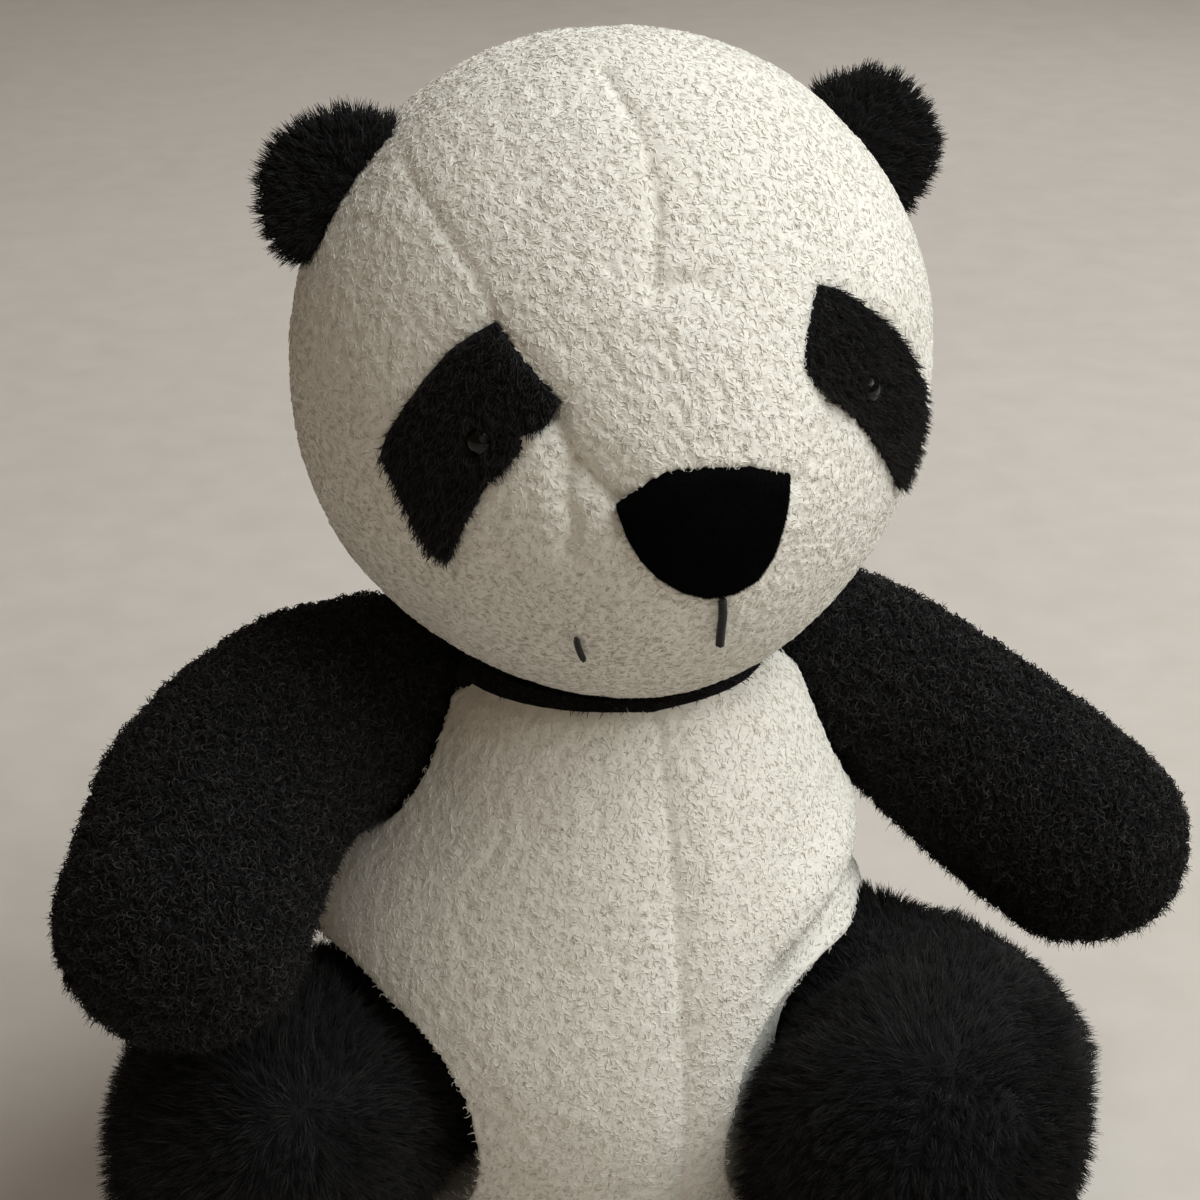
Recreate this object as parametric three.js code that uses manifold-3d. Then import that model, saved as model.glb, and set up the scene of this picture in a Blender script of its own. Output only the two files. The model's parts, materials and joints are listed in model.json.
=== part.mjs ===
// A seated plush panda, sewn from fleece and plush panels around separate fillings.
// Millimetres, +Z up, facing -Y. The origin is the middle of the flat seat, so the seat lies on z = 0.
// Left and right are the panda's own: its left arm is on +X.
import * as THREE from 'three';
import { mergeVertices } from 'three/addons/utils/BufferGeometryUtils.js';
import Module from 'manifold-3d';

const wasm = await Module();
wasm.setup();

// ---- Driving dimensions ----
const GAP = 0.3;            // clearance between neighbouring pieces
const PANEL = 1.6;          // thickness of a sewn panel
const FILL_GAP = 0.5;       // clearance between a panel and the filling under it
const SWEEP_GAP = 1.5;      // room that the torso leaves around a part that moves past it
const POCKET_GAP = 3.2;     // room around the root of a limb, where its closing seam lies
const BIG = 400;            // longer than the whole toy, for cutting blocks
const MERGE = 1e-3;         // corners closer than this are one corner
const FINE_SIDES = 24;      // sides of the round pockets
const BALL_SIDES = 20;      // sides of the neck's ball
const COARSE_SIDES = 16;    // sides of small soft shapes
const TURNED_SIDES = 12;    // sides of small turned parts
const WIDE_TRAVEL = 12;     // a hinge with more degrees than this also gets room for its middle

const HEAD = {
  centre: [0, -6, 191],
  radii: [64, 56.5, 65],
  muzzleHeight: 10,         // how far the muzzle stands out of the round head
  muzzleSpread: 34,         // degrees from the middle of the muzzle to where it fades
  muzzleDrop: 17,           // degrees that the middle of the muzzle lies below level
  backSeamY: 8,             // the seam from ear to ear, behind the head's centre
  sides: 22,
  rings: 12,
};
// The neck's ball of filling and its seam turn around the pivot, inside the room left for them.
const NECK = {
  pivot: [0, 2, 134],
  turn: 30,                 // degrees to each side
  lean: 8,                  // degrees every way
  room: 24,
  fillR: 19.6,
  seamR: 21.9,
  seamDrop: 6,
  threadR: 1,
};
const LEAN_WAYS = 6;        // directions around the neck in which the leaning head is given room

const TORSO = {
  depth: 0.93,              // front-to-back size as a share of the width
  y: -5,
  side: [[0, 0], [36, 0], [47, 5], [54.5, 16], [59, 32], [60, 48], [57.5, 66], [53, 82], [47.5, 98],
    [41, 112], [34, 123], [22, 131], [0, 134]],
  sides: 22,
  seatSeamZ: 9,
  yokeSeam: { point: [0, -38, 125], normal: [0, 0.43, 1] },  // from the chin down to the upper back
  sideSeamY: 6,
};

// Each limb runs from its root through the points of its path, given from the root, to the middle of
// its round tip. Its first panel faces the way named by facing. It has two hinges through its root,
// given as axis and travel in degrees.
const LIMBS = {
  arm_right: {
    root: [-50, 6, 116],
    path: [[-17, -11, 0.5], [-35, -28, -5.5], [-47, -48, -18]],
    radii: [20.5, 22, 23, 23.5],
    facing: [0, -1, 0],
    panels: ['front', 'back'],
    hinges: [{ axis: [-1, 0, 0], travel: [0, 12] }, { axis: [0, 1, 0], travel: [0, 12] }],
    seam: 'shoulder_seam_right',
  },
  arm_left: {
    root: [50, 6, 116],
    path: [[18, -6, -11.5], [38, -13, -29], [58, -19, -46.5]],
    radii: [18.5, 21, 23, 23.5],
    facing: [0, -1, 0],
    panels: ['front', 'back'],
    hinges: [{ axis: [-1, 0, 0], travel: [-6, 20] }, { axis: [0, -1, 0], travel: [-6, 30] }],
    seam: 'shoulder_seam_left',
  },
  leg_right: {
    root: [-44, 0, 33],
    path: [[-12, -8, 1.5], [-25, -17.5, 2], [-38, -27, 2.2]],
    radii: [24, 27.5, 30.5, 32],
    facing: [0, 0, 1],
    panels: ['upper', 'lower'],
    hinges: [{ axis: [0, 0, -1], travel: [-12, 5] }, { axis: [-0.58, 0.82, 0], travel: [0, 6] }],
    seam: 'hip_seam_right',
  },
  leg_left: {
    root: [44, 0, 33],
    path: [[12, -21, 1.5], [19, -43, 2], [3, -69, 0]],
    radii: [24, 28.5, 31.5, 32],
    facing: [0, 0, 1],
    panels: ['upper', 'lower'],
    hinges: [{ axis: [0, 0, 1], travel: [-3, 10] }, { axis: [-0.91, -0.4, 0], travel: [0, 8] }],
    seam: 'hip_seam_left',
  },
};
const LIMB_SIDES = 12;
const CAP_RINGS = 3;        // rings of faces on each round end of a limb
const TUBE_RINGS = 3;       // rings of faces between the ends
// A closing seam lies behind its limb's root, by this share of its distance from the root.
const SEAM = { threadR: 0.8, behind: 0.75 };
const RING_SIDES = { tube: 5, around: 18 };

const EAR = { radius: 17, thickness: 8.6, angle: 35.5, y: 3, gap: 1.8 };
const EAR_SIDES = { around: 16, rings: 10 };
const EYE = {
  at: { left: [36.1, -50.2, 6.8], right: [-39.8, -47.8, 3.5] },    // from the head's centre
  domeR: 3,
  domeH: 2.2,
  lift: 0.3,
  stemR: 1.3,
  stemL: 8,
};
const DOME = [[1, 0], [0.94, 0.35], [0.6, 0.8], [0, 1]];    // shares of the dome's radius and height
const WASHER = { outerR: 5, thickness: 1.2, depth: 3.6 };
const NOSE_RISE = 2.2;      // thickness of the nose piece
const THREAD_R = 0.65;
const MOUTH = { from: 25, to: 34 };         // degrees below level, on the middle line
const MOUTH_CORNER = { side: 25, from: 33, to: 38 };
const THREAD_LIFT = 1.1;    // from the fleece's backing to the middle of a surface thread
const PELLETS = { centre: [0, 3, 14], radii: [15, 24, 11.5] };

// Outlines seen from the front, as [x, z] from the head's centre, for the panda's left side.
const NOSE_HALF = [[0, 2], [10, 1.2], [14, -1.8], [16.5, -6], [15.3, -14], [11.5, -20.5], [6, -24],
  [0, -25.5]];
const EYE_PATCH = [[34, 25], [25.5, 12.5], [28, 7], [33, 6], [33, 2], [38, -3.5], [42.5, -18],
  [44.5, -24], [50, -16], [54, -4], [50.5, 7], [43, 17.5]];
const GUSSET_HALF = [[0, 90], [43, 90], [43, 48], [39, 36], [34, 25], [25.5, 12.5], [27, 9.5],
  [24.5, 2.5], [17, -6], [0, -14]];

// ---- Materials ----
const cloth = (color, roughness) => new THREE.MeshStandardMaterial({ color, roughness, metalness: 0 });
const MATERIALS = {
  fleece: cloth(0xe8e1d0, 0.95),
  plush: cloth(0x2a2b2e, 0.92),
  velvet: cloth(0x0b0b0c, 0.8),
  bead: cloth(0x050506, 0.12),
  thread: cloth(0x0d0d0e, 0.75),
  filling: cloth(0xf1efe9, 1),
  washer: cloth(0xdedede, 0.5),
  calico: cloth(0xd8cfba, 0.95),
};

// ---- Geometry and solids ----
const vec = ([x, y, z]) => new THREE.Vector3(x, y, z);
const mirrorX = (points) => points.map(([x, ...rest]) => [-x, ...rest]).reverse();
const radians = THREE.MathUtils.degToRad;

/** The closed geometry as a manifold solid. */
function solid(geometry) {
  const bare = new THREE.BufferGeometry();
  bare.setAttribute('position', geometry.getAttribute('position').clone());
  if (geometry.index) {
    bare.setIndex(geometry.index.clone());
  }
  const merged = mergeVertices(bare, MERGE);
  const corners = merged.index.array;
  const faces = [];
  for (let i = 0; i < corners.length; i += 3) {
    const [a, b, c] = corners.slice(i, i + 3);
    if (a !== b && b !== c && c !== a) {
      faces.push(a, b, c);
    }
  }
  return new wasm.Manifold(new wasm.Mesh({
    numProp: 3,
    vertProperties: new Float32Array(merged.getAttribute('position').array),
    triVerts: new Uint32Array(faces),
  }));
}

/** The named mesh of a solid, or of its largest piece where a cut has left crumbs. */
function meshOf(name, body, material) {
  const pieces = body.decompose();
  const largest = pieces.reduce((best, piece) => (piece.volume() > best.volume() ? piece : best));
  const { vertProperties, triVerts } = largest.getMesh();
  const geometry = new THREE.BufferGeometry();
  geometry.setAttribute('position', new THREE.BufferAttribute(vertProperties, 3));
  geometry.setIndex(new THREE.BufferAttribute(triVerts, 1));
  geometry.computeVertexNormals();
  const mesh = new THREE.Mesh(geometry, material.clone());
  mesh.name = name;
  return mesh;
}

function ball(centre, radius, sides = FINE_SIDES) {
  return solid(new THREE.SphereGeometry(radius, sides, sides / 2).translate(...centre));
}

function ellipsoid(centre, radii) {
  const sphere = new THREE.SphereGeometry(1, COARSE_SIDES, COARSE_SIDES / 2);
  return solid(sphere.scale(...radii).translate(...centre));
}

/** Everything on the side of the plane that its normal points to. */
function beyond(point, normal) {
  const block = new THREE.BoxGeometry(BIG, BIG, BIG).translate(0, 0, BIG / 2);
  const up = vec([0, 0, 1]);
  block.applyQuaternion(new THREE.Quaternion().setFromUnitVectors(up, vec(normal).normalize()));
  return solid(block.translate(...point));
}

/** The two parts of a solid on either side of a plane, a gap apart: first the normal's side. */
function split(body, point, normal) {
  const step = vec(normal).normalize().multiplyScalar(GAP / 2);
  const ahead = vec(point).add(step);
  const behind = vec(point).sub(step);
  const back = vec(normal).negate();
  return [
    body.intersect(beyond(ahead.toArray(), normal)),
    body.intersect(beyond(behind.toArray(), back.toArray())),
  ];
}

/** A chain or loop of 2-D points moved sideways by a distance: to the left of its direction. */
function offsetPoints(points, distance, closed) {
  const unit = (from, to) => new THREE.Vector2(to[0] - from[0], to[1] - from[1]).normalize();
  return points.map((point, i) => {
    const before = points[closed ? (i - 1 + points.length) % points.length : Math.max(i - 1, 0)];
    const after = points[closed ? (i + 1) % points.length : Math.min(i + 1, points.length - 1)];
    const incoming = before === point ? unit(point, after) : unit(before, point);
    const outgoing = after === point ? incoming : unit(point, after);
    const sum = incoming.clone().add(outgoing).normalize();
    const stretch = distance / Math.max(sum.dot(incoming), 0.5);
    return [point[0] - sum.y * stretch, point[1] + sum.x * stretch];
  });
}

/** A block with this outline in X and Z, from the plane y = start forward, grown by a margin. */
function frontPrism(outline, start, margin = 0) {
  const clockwise = THREE.ShapeUtils.isClockWise(outline.map(([x, z]) => new THREE.Vector2(x, z)));
  const grown = margin ? offsetPoints(outline, clockwise ? margin : -margin, true) : outline;
  const shape = new THREE.Shape(grown.map(([x, z]) => new THREE.Vector2(x, z)));
  const block = new THREE.ExtrudeGeometry(shape, { depth: BIG, bevelEnabled: false });
  return solid(block.rotateX(Math.PI / 2).translate(0, start, 0));
}

/** A solid of revolution around an axis through a point, from a profile of [radius, height]. */
function turned(profile, point, axis) {
  const lathe = new THREE.LatheGeometry(profile.map(([r, h]) => new THREE.Vector2(r, h)), TURNED_SIDES);
  lathe.applyQuaternion(new THREE.Quaternion().setFromUnitVectors(vec([0, 1, 0]), vec(axis).normalize()));
  return solid(lathe.translate(...point));
}

function cylinder(point, axis, radius, from, to) {
  return turned([[0, from], [radius, from], [radius, to], [0, to]], point, axis);
}

/** A ring of thread: its middle circle has this radius around the axis. */
function threadRing(centre, axis, ringRadius, threadRadius) {
  const ring = new THREE.TorusGeometry(ringRadius, threadRadius, RING_SIDES.tube, RING_SIDES.around);
  ring.applyQuaternion(new THREE.Quaternion().setFromUnitVectors(vec([0, 0, 1]), vec(axis).normalize()));
  return solid(ring.translate(...centre));
}

/** A thread sewn along points, as a round tube with flat ends. */
function thread(points, radius) {
  const section = new THREE.Shape().absarc(0, 0, radius, 0, 2 * Math.PI);
  const path = new THREE.CatmullRomCurve3(points);
  const tube = { extrudePath: path, steps: 6, curveSegments: 4, bevelEnabled: false };
  return solid(new THREE.ExtrudeGeometry(section, tube));
}

/** A turn around an axis through a pivot. */
function turnAbout(pivot, axis, degrees) {
  const turn = new THREE.Matrix4().makeRotationAxis(vec(axis).normalize(), radians(degrees));
  const out = new THREE.Matrix4().makeTranslation(...pivot);
  const home = new THREE.Matrix4().makeTranslation(...vec(pivot).negate().toArray());
  return out.multiply(turn).multiply(home);
}

/** All the room that a geometry takes in these poses. */
function sweep(geometry, poses) {
  const copies = poses.map((pose) => solid(geometry.clone().applyMatrix4(pose)));
  return copies.reduce((room, copy) => room.add(copy));
}

/** The angles at the ends of a hinge's travel, and in its middle where the travel is wide. */
function stopsOf({ travel: [low, high] }) {
  return high - low > WIDE_TRAVEL ? [low, (low + high) / 2, high] : [low, high];
}

/** The poses that a limb's two hinges reach at all their stops. */
function limbPoses(limb) {
  const [first, second] = limb.hinges;
  return stopsOf(first).flatMap((a) => stopsOf(second).map((b) => (
    turnAbout(limb.root, first.axis, a).multiply(turnAbout(limb.root, second.axis, b)))));
}

/** The poses of the head that leans every way, at the ends and in the middle of its turn. */
function headPoses() {
  const poses = [];
  for (const turn of [-NECK.turn, 0, NECK.turn]) {
    for (let i = 0; i < LEAN_WAYS; i += 1) {
      const way = (2 * Math.PI * i) / LEAN_WAYS;
      const lean = turnAbout(NECK.pivot, [Math.cos(way), Math.sin(way), 0], NECK.lean);
      poses.push(turnAbout(NECK.pivot, [0, 0, 1], turn).multiply(lean));
    }
  }
  return poses;
}

// ---- Head ----

/** A direction from the head's centre, from straight ahead turned sideways and down. */
function faceDirection(sideways, below) {
  const level = Math.cos(radians(below));
  return new THREE.Vector3(level * Math.sin(radians(sideways)), -level * Math.cos(radians(sideways)),
    -Math.sin(radians(below)));
}

const muzzleDirection = faceDirection(0, HEAD.muzzleDrop);

/** Distance from the head's centre to its outside, in a direction: an ellipsoid with a round muzzle. */
function headRadius(direction) {
  const [a, b, c] = HEAD.radii;
  const round = 1 / Math.hypot(direction.x / a, direction.y / b, direction.z / c);
  const away = direction.angleTo(muzzleDirection) / radians(HEAD.muzzleSpread);
  return round + HEAD.muzzleHeight * Math.exp(-away * away);
}

function headPoint(direction, offset) {
  const unit = direction.clone().normalize();
  return unit.multiplyScalar(headRadius(unit) + offset);
}

/** The head's surface around its own centre, moved out by an offset. */
function headGeometry(offset) {
  const geometry = new THREE.SphereGeometry(1, HEAD.sides, HEAD.rings).rotateX(Math.PI / 2);
  const position = geometry.getAttribute('position');
  for (let i = 0; i < position.count; i += 1) {
    const point = headPoint(new THREE.Vector3().fromBufferAttribute(position, i), offset);
    position.setXYZ(i, point.x, point.y, point.z);
  }
  return geometry;
}

function buildHead() {
  const group = new THREE.Group();
  const pivot = vec(NECK.pivot).sub(vec(HEAD.centre)).toArray();
  const neckRoom = ball(pivot, NECK.room);
  const shell = solid(headGeometry(0)).subtract(solid(headGeometry(-PANEL))).subtract(neckRoom);
  let filling = solid(headGeometry(-PANEL - FILL_GAP)).subtract(neckRoom);
  const [back, front] = split(shell, [0, HEAD.backSeamY, 0], [0, 1, 0]);
  const [backLeft, backRight] = split(back, [0, 0, 0], [1, 0, 0]);

  const gussetOutline = [...GUSSET_HALF, ...mirrorX(GUSSET_HALF).slice(1, -1)];
  const patches = { left: EYE_PATCH, right: mirrorX(EYE_PATCH) };
  let gusset = front.intersect(frontPrism(gussetOutline, HEAD.backSeamY));
  let cheeks = front.subtract(frontPrism(gussetOutline, HEAD.backSeamY + GAP, GAP));
  for (const outline of Object.values(patches)) {
    const room = frontPrism(outline, 0, GAP);
    gusset = gusset.subtract(room);
    cheeks = cheeks.subtract(room);
  }
  const [cheekLeft, cheekRight] = split(cheeks, [0, 0, 0], [1, 0, 0]);

  for (const [name, outline] of Object.entries(patches)) {
    const direction = vec(EYE.at[name]).normalize();
    const surface = headPoint(direction, 0).toArray();
    const axis = direction.toArray();
    const hole = EYE.stemR + GAP;
    const washerTop = -WASHER.depth;
    const washerBottom = washerTop - WASHER.thickness;
    const bead = [[0, -EYE.stemL], [EYE.stemR, -EYE.stemL], [EYE.stemR, EYE.lift],
      ...DOME.map(([r, h]) => [EYE.domeR * r, EYE.lift + EYE.domeH * h])];
    const disc = [[hole, washerBottom], [WASHER.outerR, washerBottom], [WASHER.outerR, washerTop],
      [hole, washerTop], [hole, washerBottom]];
    const patch = front.intersect(frontPrism(outline, 0))
      .subtract(cylinder(surface, axis, hole, -EYE.stemL, EYE.stemL));
    filling = filling
      .subtract(cylinder(surface, axis, hole, -EYE.stemL - GAP, 0))
      .subtract(cylinder(surface, axis, WASHER.outerR + GAP, washerBottom - GAP, 0));
    group.add(
      meshOf(`eye_patch_${name}`, patch, MATERIALS.plush),
      meshOf(`eye_${name}`, turned(bead, surface, axis), MATERIALS.bead),
      meshOf(`eye_washer_${name}`, turned(disc, surface, axis), MATERIALS.washer),
    );
  }

  const noseOutline = [...NOSE_HALF, ...mirrorX(NOSE_HALF).slice(1, -1)];
  const nose = solid(headGeometry(GAP + NOSE_RISE)).subtract(solid(headGeometry(GAP)))
    .intersect(frontPrism(noseOutline, 0));
  const mouth = [MOUTH.from, (MOUTH.from + MOUTH.to) / 2, MOUTH.to]
    .map((below) => headPoint(faceDirection(0, below), THREAD_LIFT));
  const corner = [MOUTH_CORNER.from, MOUTH_CORNER.to]
    .map((below) => headPoint(faceDirection(-MOUTH_CORNER.side, below), THREAD_LIFT));
  group.add(
    meshOf('head_gusset', gusset, MATERIALS.fleece),
    meshOf('cheek_left', cheekLeft, MATERIALS.fleece),
    meshOf('cheek_right', cheekRight, MATERIALS.fleece),
    meshOf('head_back_left', backLeft, MATERIALS.fleece),
    meshOf('head_back_right', backRight, MATERIALS.fleece),
    meshOf('head_filling', filling, MATERIALS.filling),
    meshOf('nose', nose, MATERIALS.velvet),
    meshOf('mouth_stitch', thread(mouth, THREAD_R), MATERIALS.thread),
    meshOf('mouth_corner_stitch', thread(corner, THREAD_R), MATERIALS.thread),
    ...buildEar('left', 1),
    ...buildEar('right', -1),
  );
  group.position.copy(vec(HEAD.centre));
  return group;
}

/** A half-round ear of two padded faces, its straight edge along the head. */
function buildEar(name, side) {
  const outward = new THREE.Vector3(side * Math.cos(radians(EAR.angle)), 0, Math.sin(radians(EAR.angle)));
  const foot = headPoint(outward, EAR.gap).setY(EAR.y);
  const turn = new THREE.Quaternion().setFromUnitVectors(vec([0, 0, 1]), outward);
  const disc = new THREE.SphereGeometry(1, EAR_SIDES.around, EAR_SIDES.rings).rotateX(Math.PI / 2)
    .scale(EAR.radius, EAR.thickness / 2, EAR.radius);
  disc.applyQuaternion(turn).translate(...foot.toArray());
  const half = solid(disc).intersect(beyond(foot.toArray(), outward.toArray()));
  const [back, front] = split(half, foot.toArray(), [0, 1, 0]);
  return [
    meshOf(`ear_${name}_front`, front, MATERIALS.plush),
    meshOf(`ear_${name}_back`, back, MATERIALS.plush),
  ];
}

// ---- Neck ----
function buildNeck() {
  const [x, y, z] = NECK.pivot;
  const seam = threadRing([x, y, z - NECK.seamDrop], [0, 0, 1],
    Math.sqrt(NECK.seamR ** 2 - NECK.seamDrop ** 2), NECK.threadR);
  const group = new THREE.Group();
  group.add(
    meshOf('neck_filling', ball(NECK.pivot, NECK.fillR, BALL_SIDES), MATERIALS.filling),
    meshOf('neck_seam', seam, MATERIALS.thread),
  );
  return group;
}

// ---- Arms and legs ----
/** The limb's surface around its root, moved out by an offset: a tube with round ends. */
function limbGeometry(limb, offset) {
  const curve = new THREE.CatmullRomCurve3([new THREE.Vector3(), ...limb.path.map(vec)]);
  const radii = new THREE.SplineCurve(limb.radii.map((r, i) => new THREE.Vector2(i, r + offset)));
  const rows = 2 * CAP_RINGS + TUBE_RINGS;
  const geometry = new THREE.SphereGeometry(1, LIMB_SIDES, rows);
  const position = geometry.getAttribute('position');
  const reference = vec(limb.facing).normalize();
  for (let i = 0; i < position.count; i += 1) {
    const row = Math.floor(i / (LIMB_SIDES + 1));
    const around = (2 * Math.PI * (i % (LIMB_SIDES + 1))) / LIMB_SIDES;
    const t = THREE.MathUtils.clamp((row - CAP_RINGS) / TUBE_RINGS, 0, 1);
    const cap = Math.max(CAP_RINGS - row, row - CAP_RINGS - TUBE_RINGS, 0) / CAP_RINGS;
    const lean = (cap * Math.PI) / 2;
    const along = Math.sin(lean) * (row < CAP_RINGS ? -1 : 1);
    const radius = radii.getPoint(t).y;
    const tangent = curve.getTangentAt(t);
    const normal = reference.clone().addScaledVector(tangent, -reference.dot(tangent)).normalize();
    const side = tangent.clone().cross(normal);
    const point = curve.getPointAt(t)
      .addScaledVector(tangent, radius * along)
      .addScaledVector(normal, -radius * Math.cos(lean) * Math.cos(around))
      .addScaledVector(side, radius * Math.cos(lean) * Math.sin(around));
    position.setXYZ(i, point.x, point.y, point.z);
  }
  return geometry;
}

function buildLimb(name, limb) {
  const shell = solid(limbGeometry(limb, 0)).subtract(solid(limbGeometry(limb, -PANEL)));
  const chord = vec(limb.path.at(-1)).normalize();
  const facing = vec(limb.facing).normalize();
  const normal = facing.addScaledVector(chord, -facing.dot(chord)).normalize();
  const halves = split(shell, limb.path[0].map((v) => v / 2), normal.toArray());
  const group = new THREE.Group();
  limb.panels.forEach((panel, i) => group.add(meshOf(`${name}_${panel}`, halves[i], MATERIALS.plush)));
  group.add(meshOf(`${name}_filling`, solid(limbGeometry(limb, -PANEL - FILL_GAP)), MATERIALS.filling));

  const reach = limb.radii[0] + POCKET_GAP / 2;
  const start = vec(limb.path[0]).normalize();
  const ring = threadRing(start.clone().multiplyScalar(-SEAM.behind * reach).toArray(), start.toArray(),
    reach * Math.sqrt(1 - SEAM.behind ** 2), SEAM.threadR);
  group.add(meshOf(limb.seam, ring, MATERIALS.thread));
  group.position.copy(vec(limb.root));
  return group;
}

// ---- Torso ----
/** The torso's surface, moved in by an inset. */
function torsoGeometry(inset) {
  const moved = offsetPoints(TORSO.side, inset, false);
  moved[0][0] = 0;
  moved.at(-1)[0] = 0;
  const lathe = new THREE.LatheGeometry(moved.map(([r, z]) => new THREE.Vector2(r, z)), TORSO.sides);
  return lathe.rotateX(Math.PI / 2).scale(1, TORSO.depth, 1).translate(0, TORSO.y, 0);
}

/** The room that the head, the neck and the limbs need inside the torso's outline. */
function movingRoom() {
  const head = headGeometry(SWEEP_GAP).translate(...HEAD.centre);
  let room = sweep(head, headPoses()).add(ball(NECK.pivot, NECK.room, BALL_SIDES));
  for (const limb of Object.values(LIMBS)) {
    const grown = limbGeometry(limb, SWEEP_GAP).translate(...limb.root);
    const pocket = ball(limb.root, limb.radii[0] + POCKET_GAP);
    room = room.add(sweep(grown, limbPoses(limb))).add(pocket);
  }
  return room;
}

function buildTorso() {
  const room = movingRoom();
  const shell = solid(torsoGeometry(0)).subtract(solid(torsoGeometry(PANEL))).subtract(room);
  const [aboveSeat, seat] = split(shell, [0, 0, TORSO.seatSeamZ], [0, 0, 1]);
  const [yoke, body] = split(aboveSeat, TORSO.yokeSeam.point, TORSO.yokeSeam.normal);
  const [yokeBack, yokeFront] = split(yoke, [0, TORSO.y, 0], [0, 1, 0]);
  const [back, belly] = split(body, [0, TORSO.sideSeamY, 0], [0, 1, 0]);
  const [backLeft, backRight] = split(back, [0, 0, 0], [1, 0, 0]);
  const [bellyLeft, bellyRight] = split(belly, [0, 0, 0], [1, 0, 0]);
  // The bag lies in a hollow that is open below, against the seat panel.
  const hollow = PELLETS.radii.map((r) => r + FILL_GAP);
  const [x, y] = PELLETS.centre;
  const filling = solid(torsoGeometry(PANEL + FILL_GAP)).subtract(room)
    .subtract(ellipsoid(PELLETS.centre, hollow)).subtract(ellipsoid([x, y, 0], hollow));
  const group = new THREE.Group();
  group.add(
    meshOf('seat_panel', seat, MATERIALS.fleece),
    meshOf('yoke_front', yokeFront, MATERIALS.plush),
    meshOf('yoke_back', yokeBack, MATERIALS.plush),
    meshOf('belly_left', bellyLeft, MATERIALS.fleece),
    meshOf('belly_right', bellyRight, MATERIALS.fleece),
    meshOf('back_left', backLeft, MATERIALS.fleece),
    meshOf('back_right', backRight, MATERIALS.fleece),
    meshOf('torso_filling', filling, MATERIALS.filling),
    meshOf('pellet_bag', ellipsoid(PELLETS.centre, PELLETS.radii), MATERIALS.calico),
  );
  return group;
}

const panda = new THREE.Group();
panda.add(buildTorso(), buildNeck(), buildHead());
for (const [name, limb] of Object.entries(LIMBS)) {
  panda.add(buildLimb(name, limb));
}
export default panda;
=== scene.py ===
"""A seated plush panda: fleece and plush skins with real pile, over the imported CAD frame.

Shapes are worked out in millimetres and made in metres. Left and right are the panda's own.
"""
import json
import math

import bpy
import numpy as np
from mathutils import Matrix, Vector


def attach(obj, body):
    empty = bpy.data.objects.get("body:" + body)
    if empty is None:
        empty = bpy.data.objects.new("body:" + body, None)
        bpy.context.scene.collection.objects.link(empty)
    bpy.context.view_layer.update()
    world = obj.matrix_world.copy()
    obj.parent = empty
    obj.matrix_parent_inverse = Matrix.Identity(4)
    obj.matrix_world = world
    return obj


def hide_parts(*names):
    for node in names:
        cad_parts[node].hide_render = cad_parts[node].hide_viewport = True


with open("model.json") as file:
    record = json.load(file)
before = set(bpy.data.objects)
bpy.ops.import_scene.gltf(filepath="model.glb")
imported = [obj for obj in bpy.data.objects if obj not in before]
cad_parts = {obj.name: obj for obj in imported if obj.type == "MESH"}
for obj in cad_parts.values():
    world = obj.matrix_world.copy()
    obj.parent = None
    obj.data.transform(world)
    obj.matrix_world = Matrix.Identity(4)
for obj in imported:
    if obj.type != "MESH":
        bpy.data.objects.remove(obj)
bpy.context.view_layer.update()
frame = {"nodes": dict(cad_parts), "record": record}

MM = 0.001

# ---- Dimensions, in millimetres ----
HEAD_CENTRE = np.array([0.0, -6.0, 191.0])
HEAD_RADII = np.array([64.0, 56.5, 65.0])
MUZZLE_HEIGHT = 10.0
MUZZLE_SPREAD = math.radians(34)
MUZZLE_DROP = math.radians(17)
NECK_PIVOT = np.array([0.0, 2.0, 134.0])

TORSO_DEPTH = 0.93
TORSO_Y = -5.0
TORSO_PROFILE = np.array([(0, 0), (22, 0), (36, 0.6), (47, 5), (54.5, 16), (59, 32), (60, 48), (57.5, 66), (53.5, 82),
                          (49, 98), (44, 112), (38.5, 122.5), (27, 131), (0, 134)], float)
YOKE_FRONT_Z, YOKE_SLOPE, YOKE_FRONT_Y = 127.3, 0.75, -14.0    # level in front, then down to the upper back
BULGE, BULGE_Z, BULGE_SPREAD = 8.5, 74.0, 30.0  # the belly leans on the raised right arm
CHIN_DIRECTION = np.array([0.105, -0.455, -0.9135]) / math.sqrt(0.105 ** 2 + 0.455 ** 2 + 0.9135 ** 2)
CHIN_HEIGHT, CHIN_SPREAD = 2.8, math.radians(25)

LIMBS = {
    "arm_right": dict(root=(-50, 6, 116), path=[(-17, -11, 0.5), (-35, -28, -5.5), (-47, -48, -18)],
                      radii=[22, 23.2, 24.3, 24], facing=(0, -1, 0)),
    "arm_left": dict(root=(50, 6, 116), path=[(18, -6, -11.5), (38, -13, -29), (58, -19, -46.5)],
                     radii=[18.5, 21, 23, 23.5], facing=(0, -1, 0)),
    "leg_right": dict(root=(-44, 0, 33), path=[(-12, -8, 1.5), (-25, -17.5, 2), (-38, -27, 2.2)],
                      radii=[24, 27.5, 30.5, 32], facing=(0, 0, 1)),
    "leg_left": dict(root=(44, 0, 33), path=[(12, -21, 1), (19.5, -43, 0.5), (2, -70, 0)],
                     radii=[24, 27.5, 31.5, 33.5], facing=(0, 0, 1)),
}

EAR_RADIUS, EAR_THICKNESS, EAR_ANGLE, EAR_Y = 15.8, 8.6, math.radians(35.5), 3.0
EYE_AT = {"left": (36.1, -50.2, 6.8), "right": (-39.8, -47.8, 3.5)}
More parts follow.
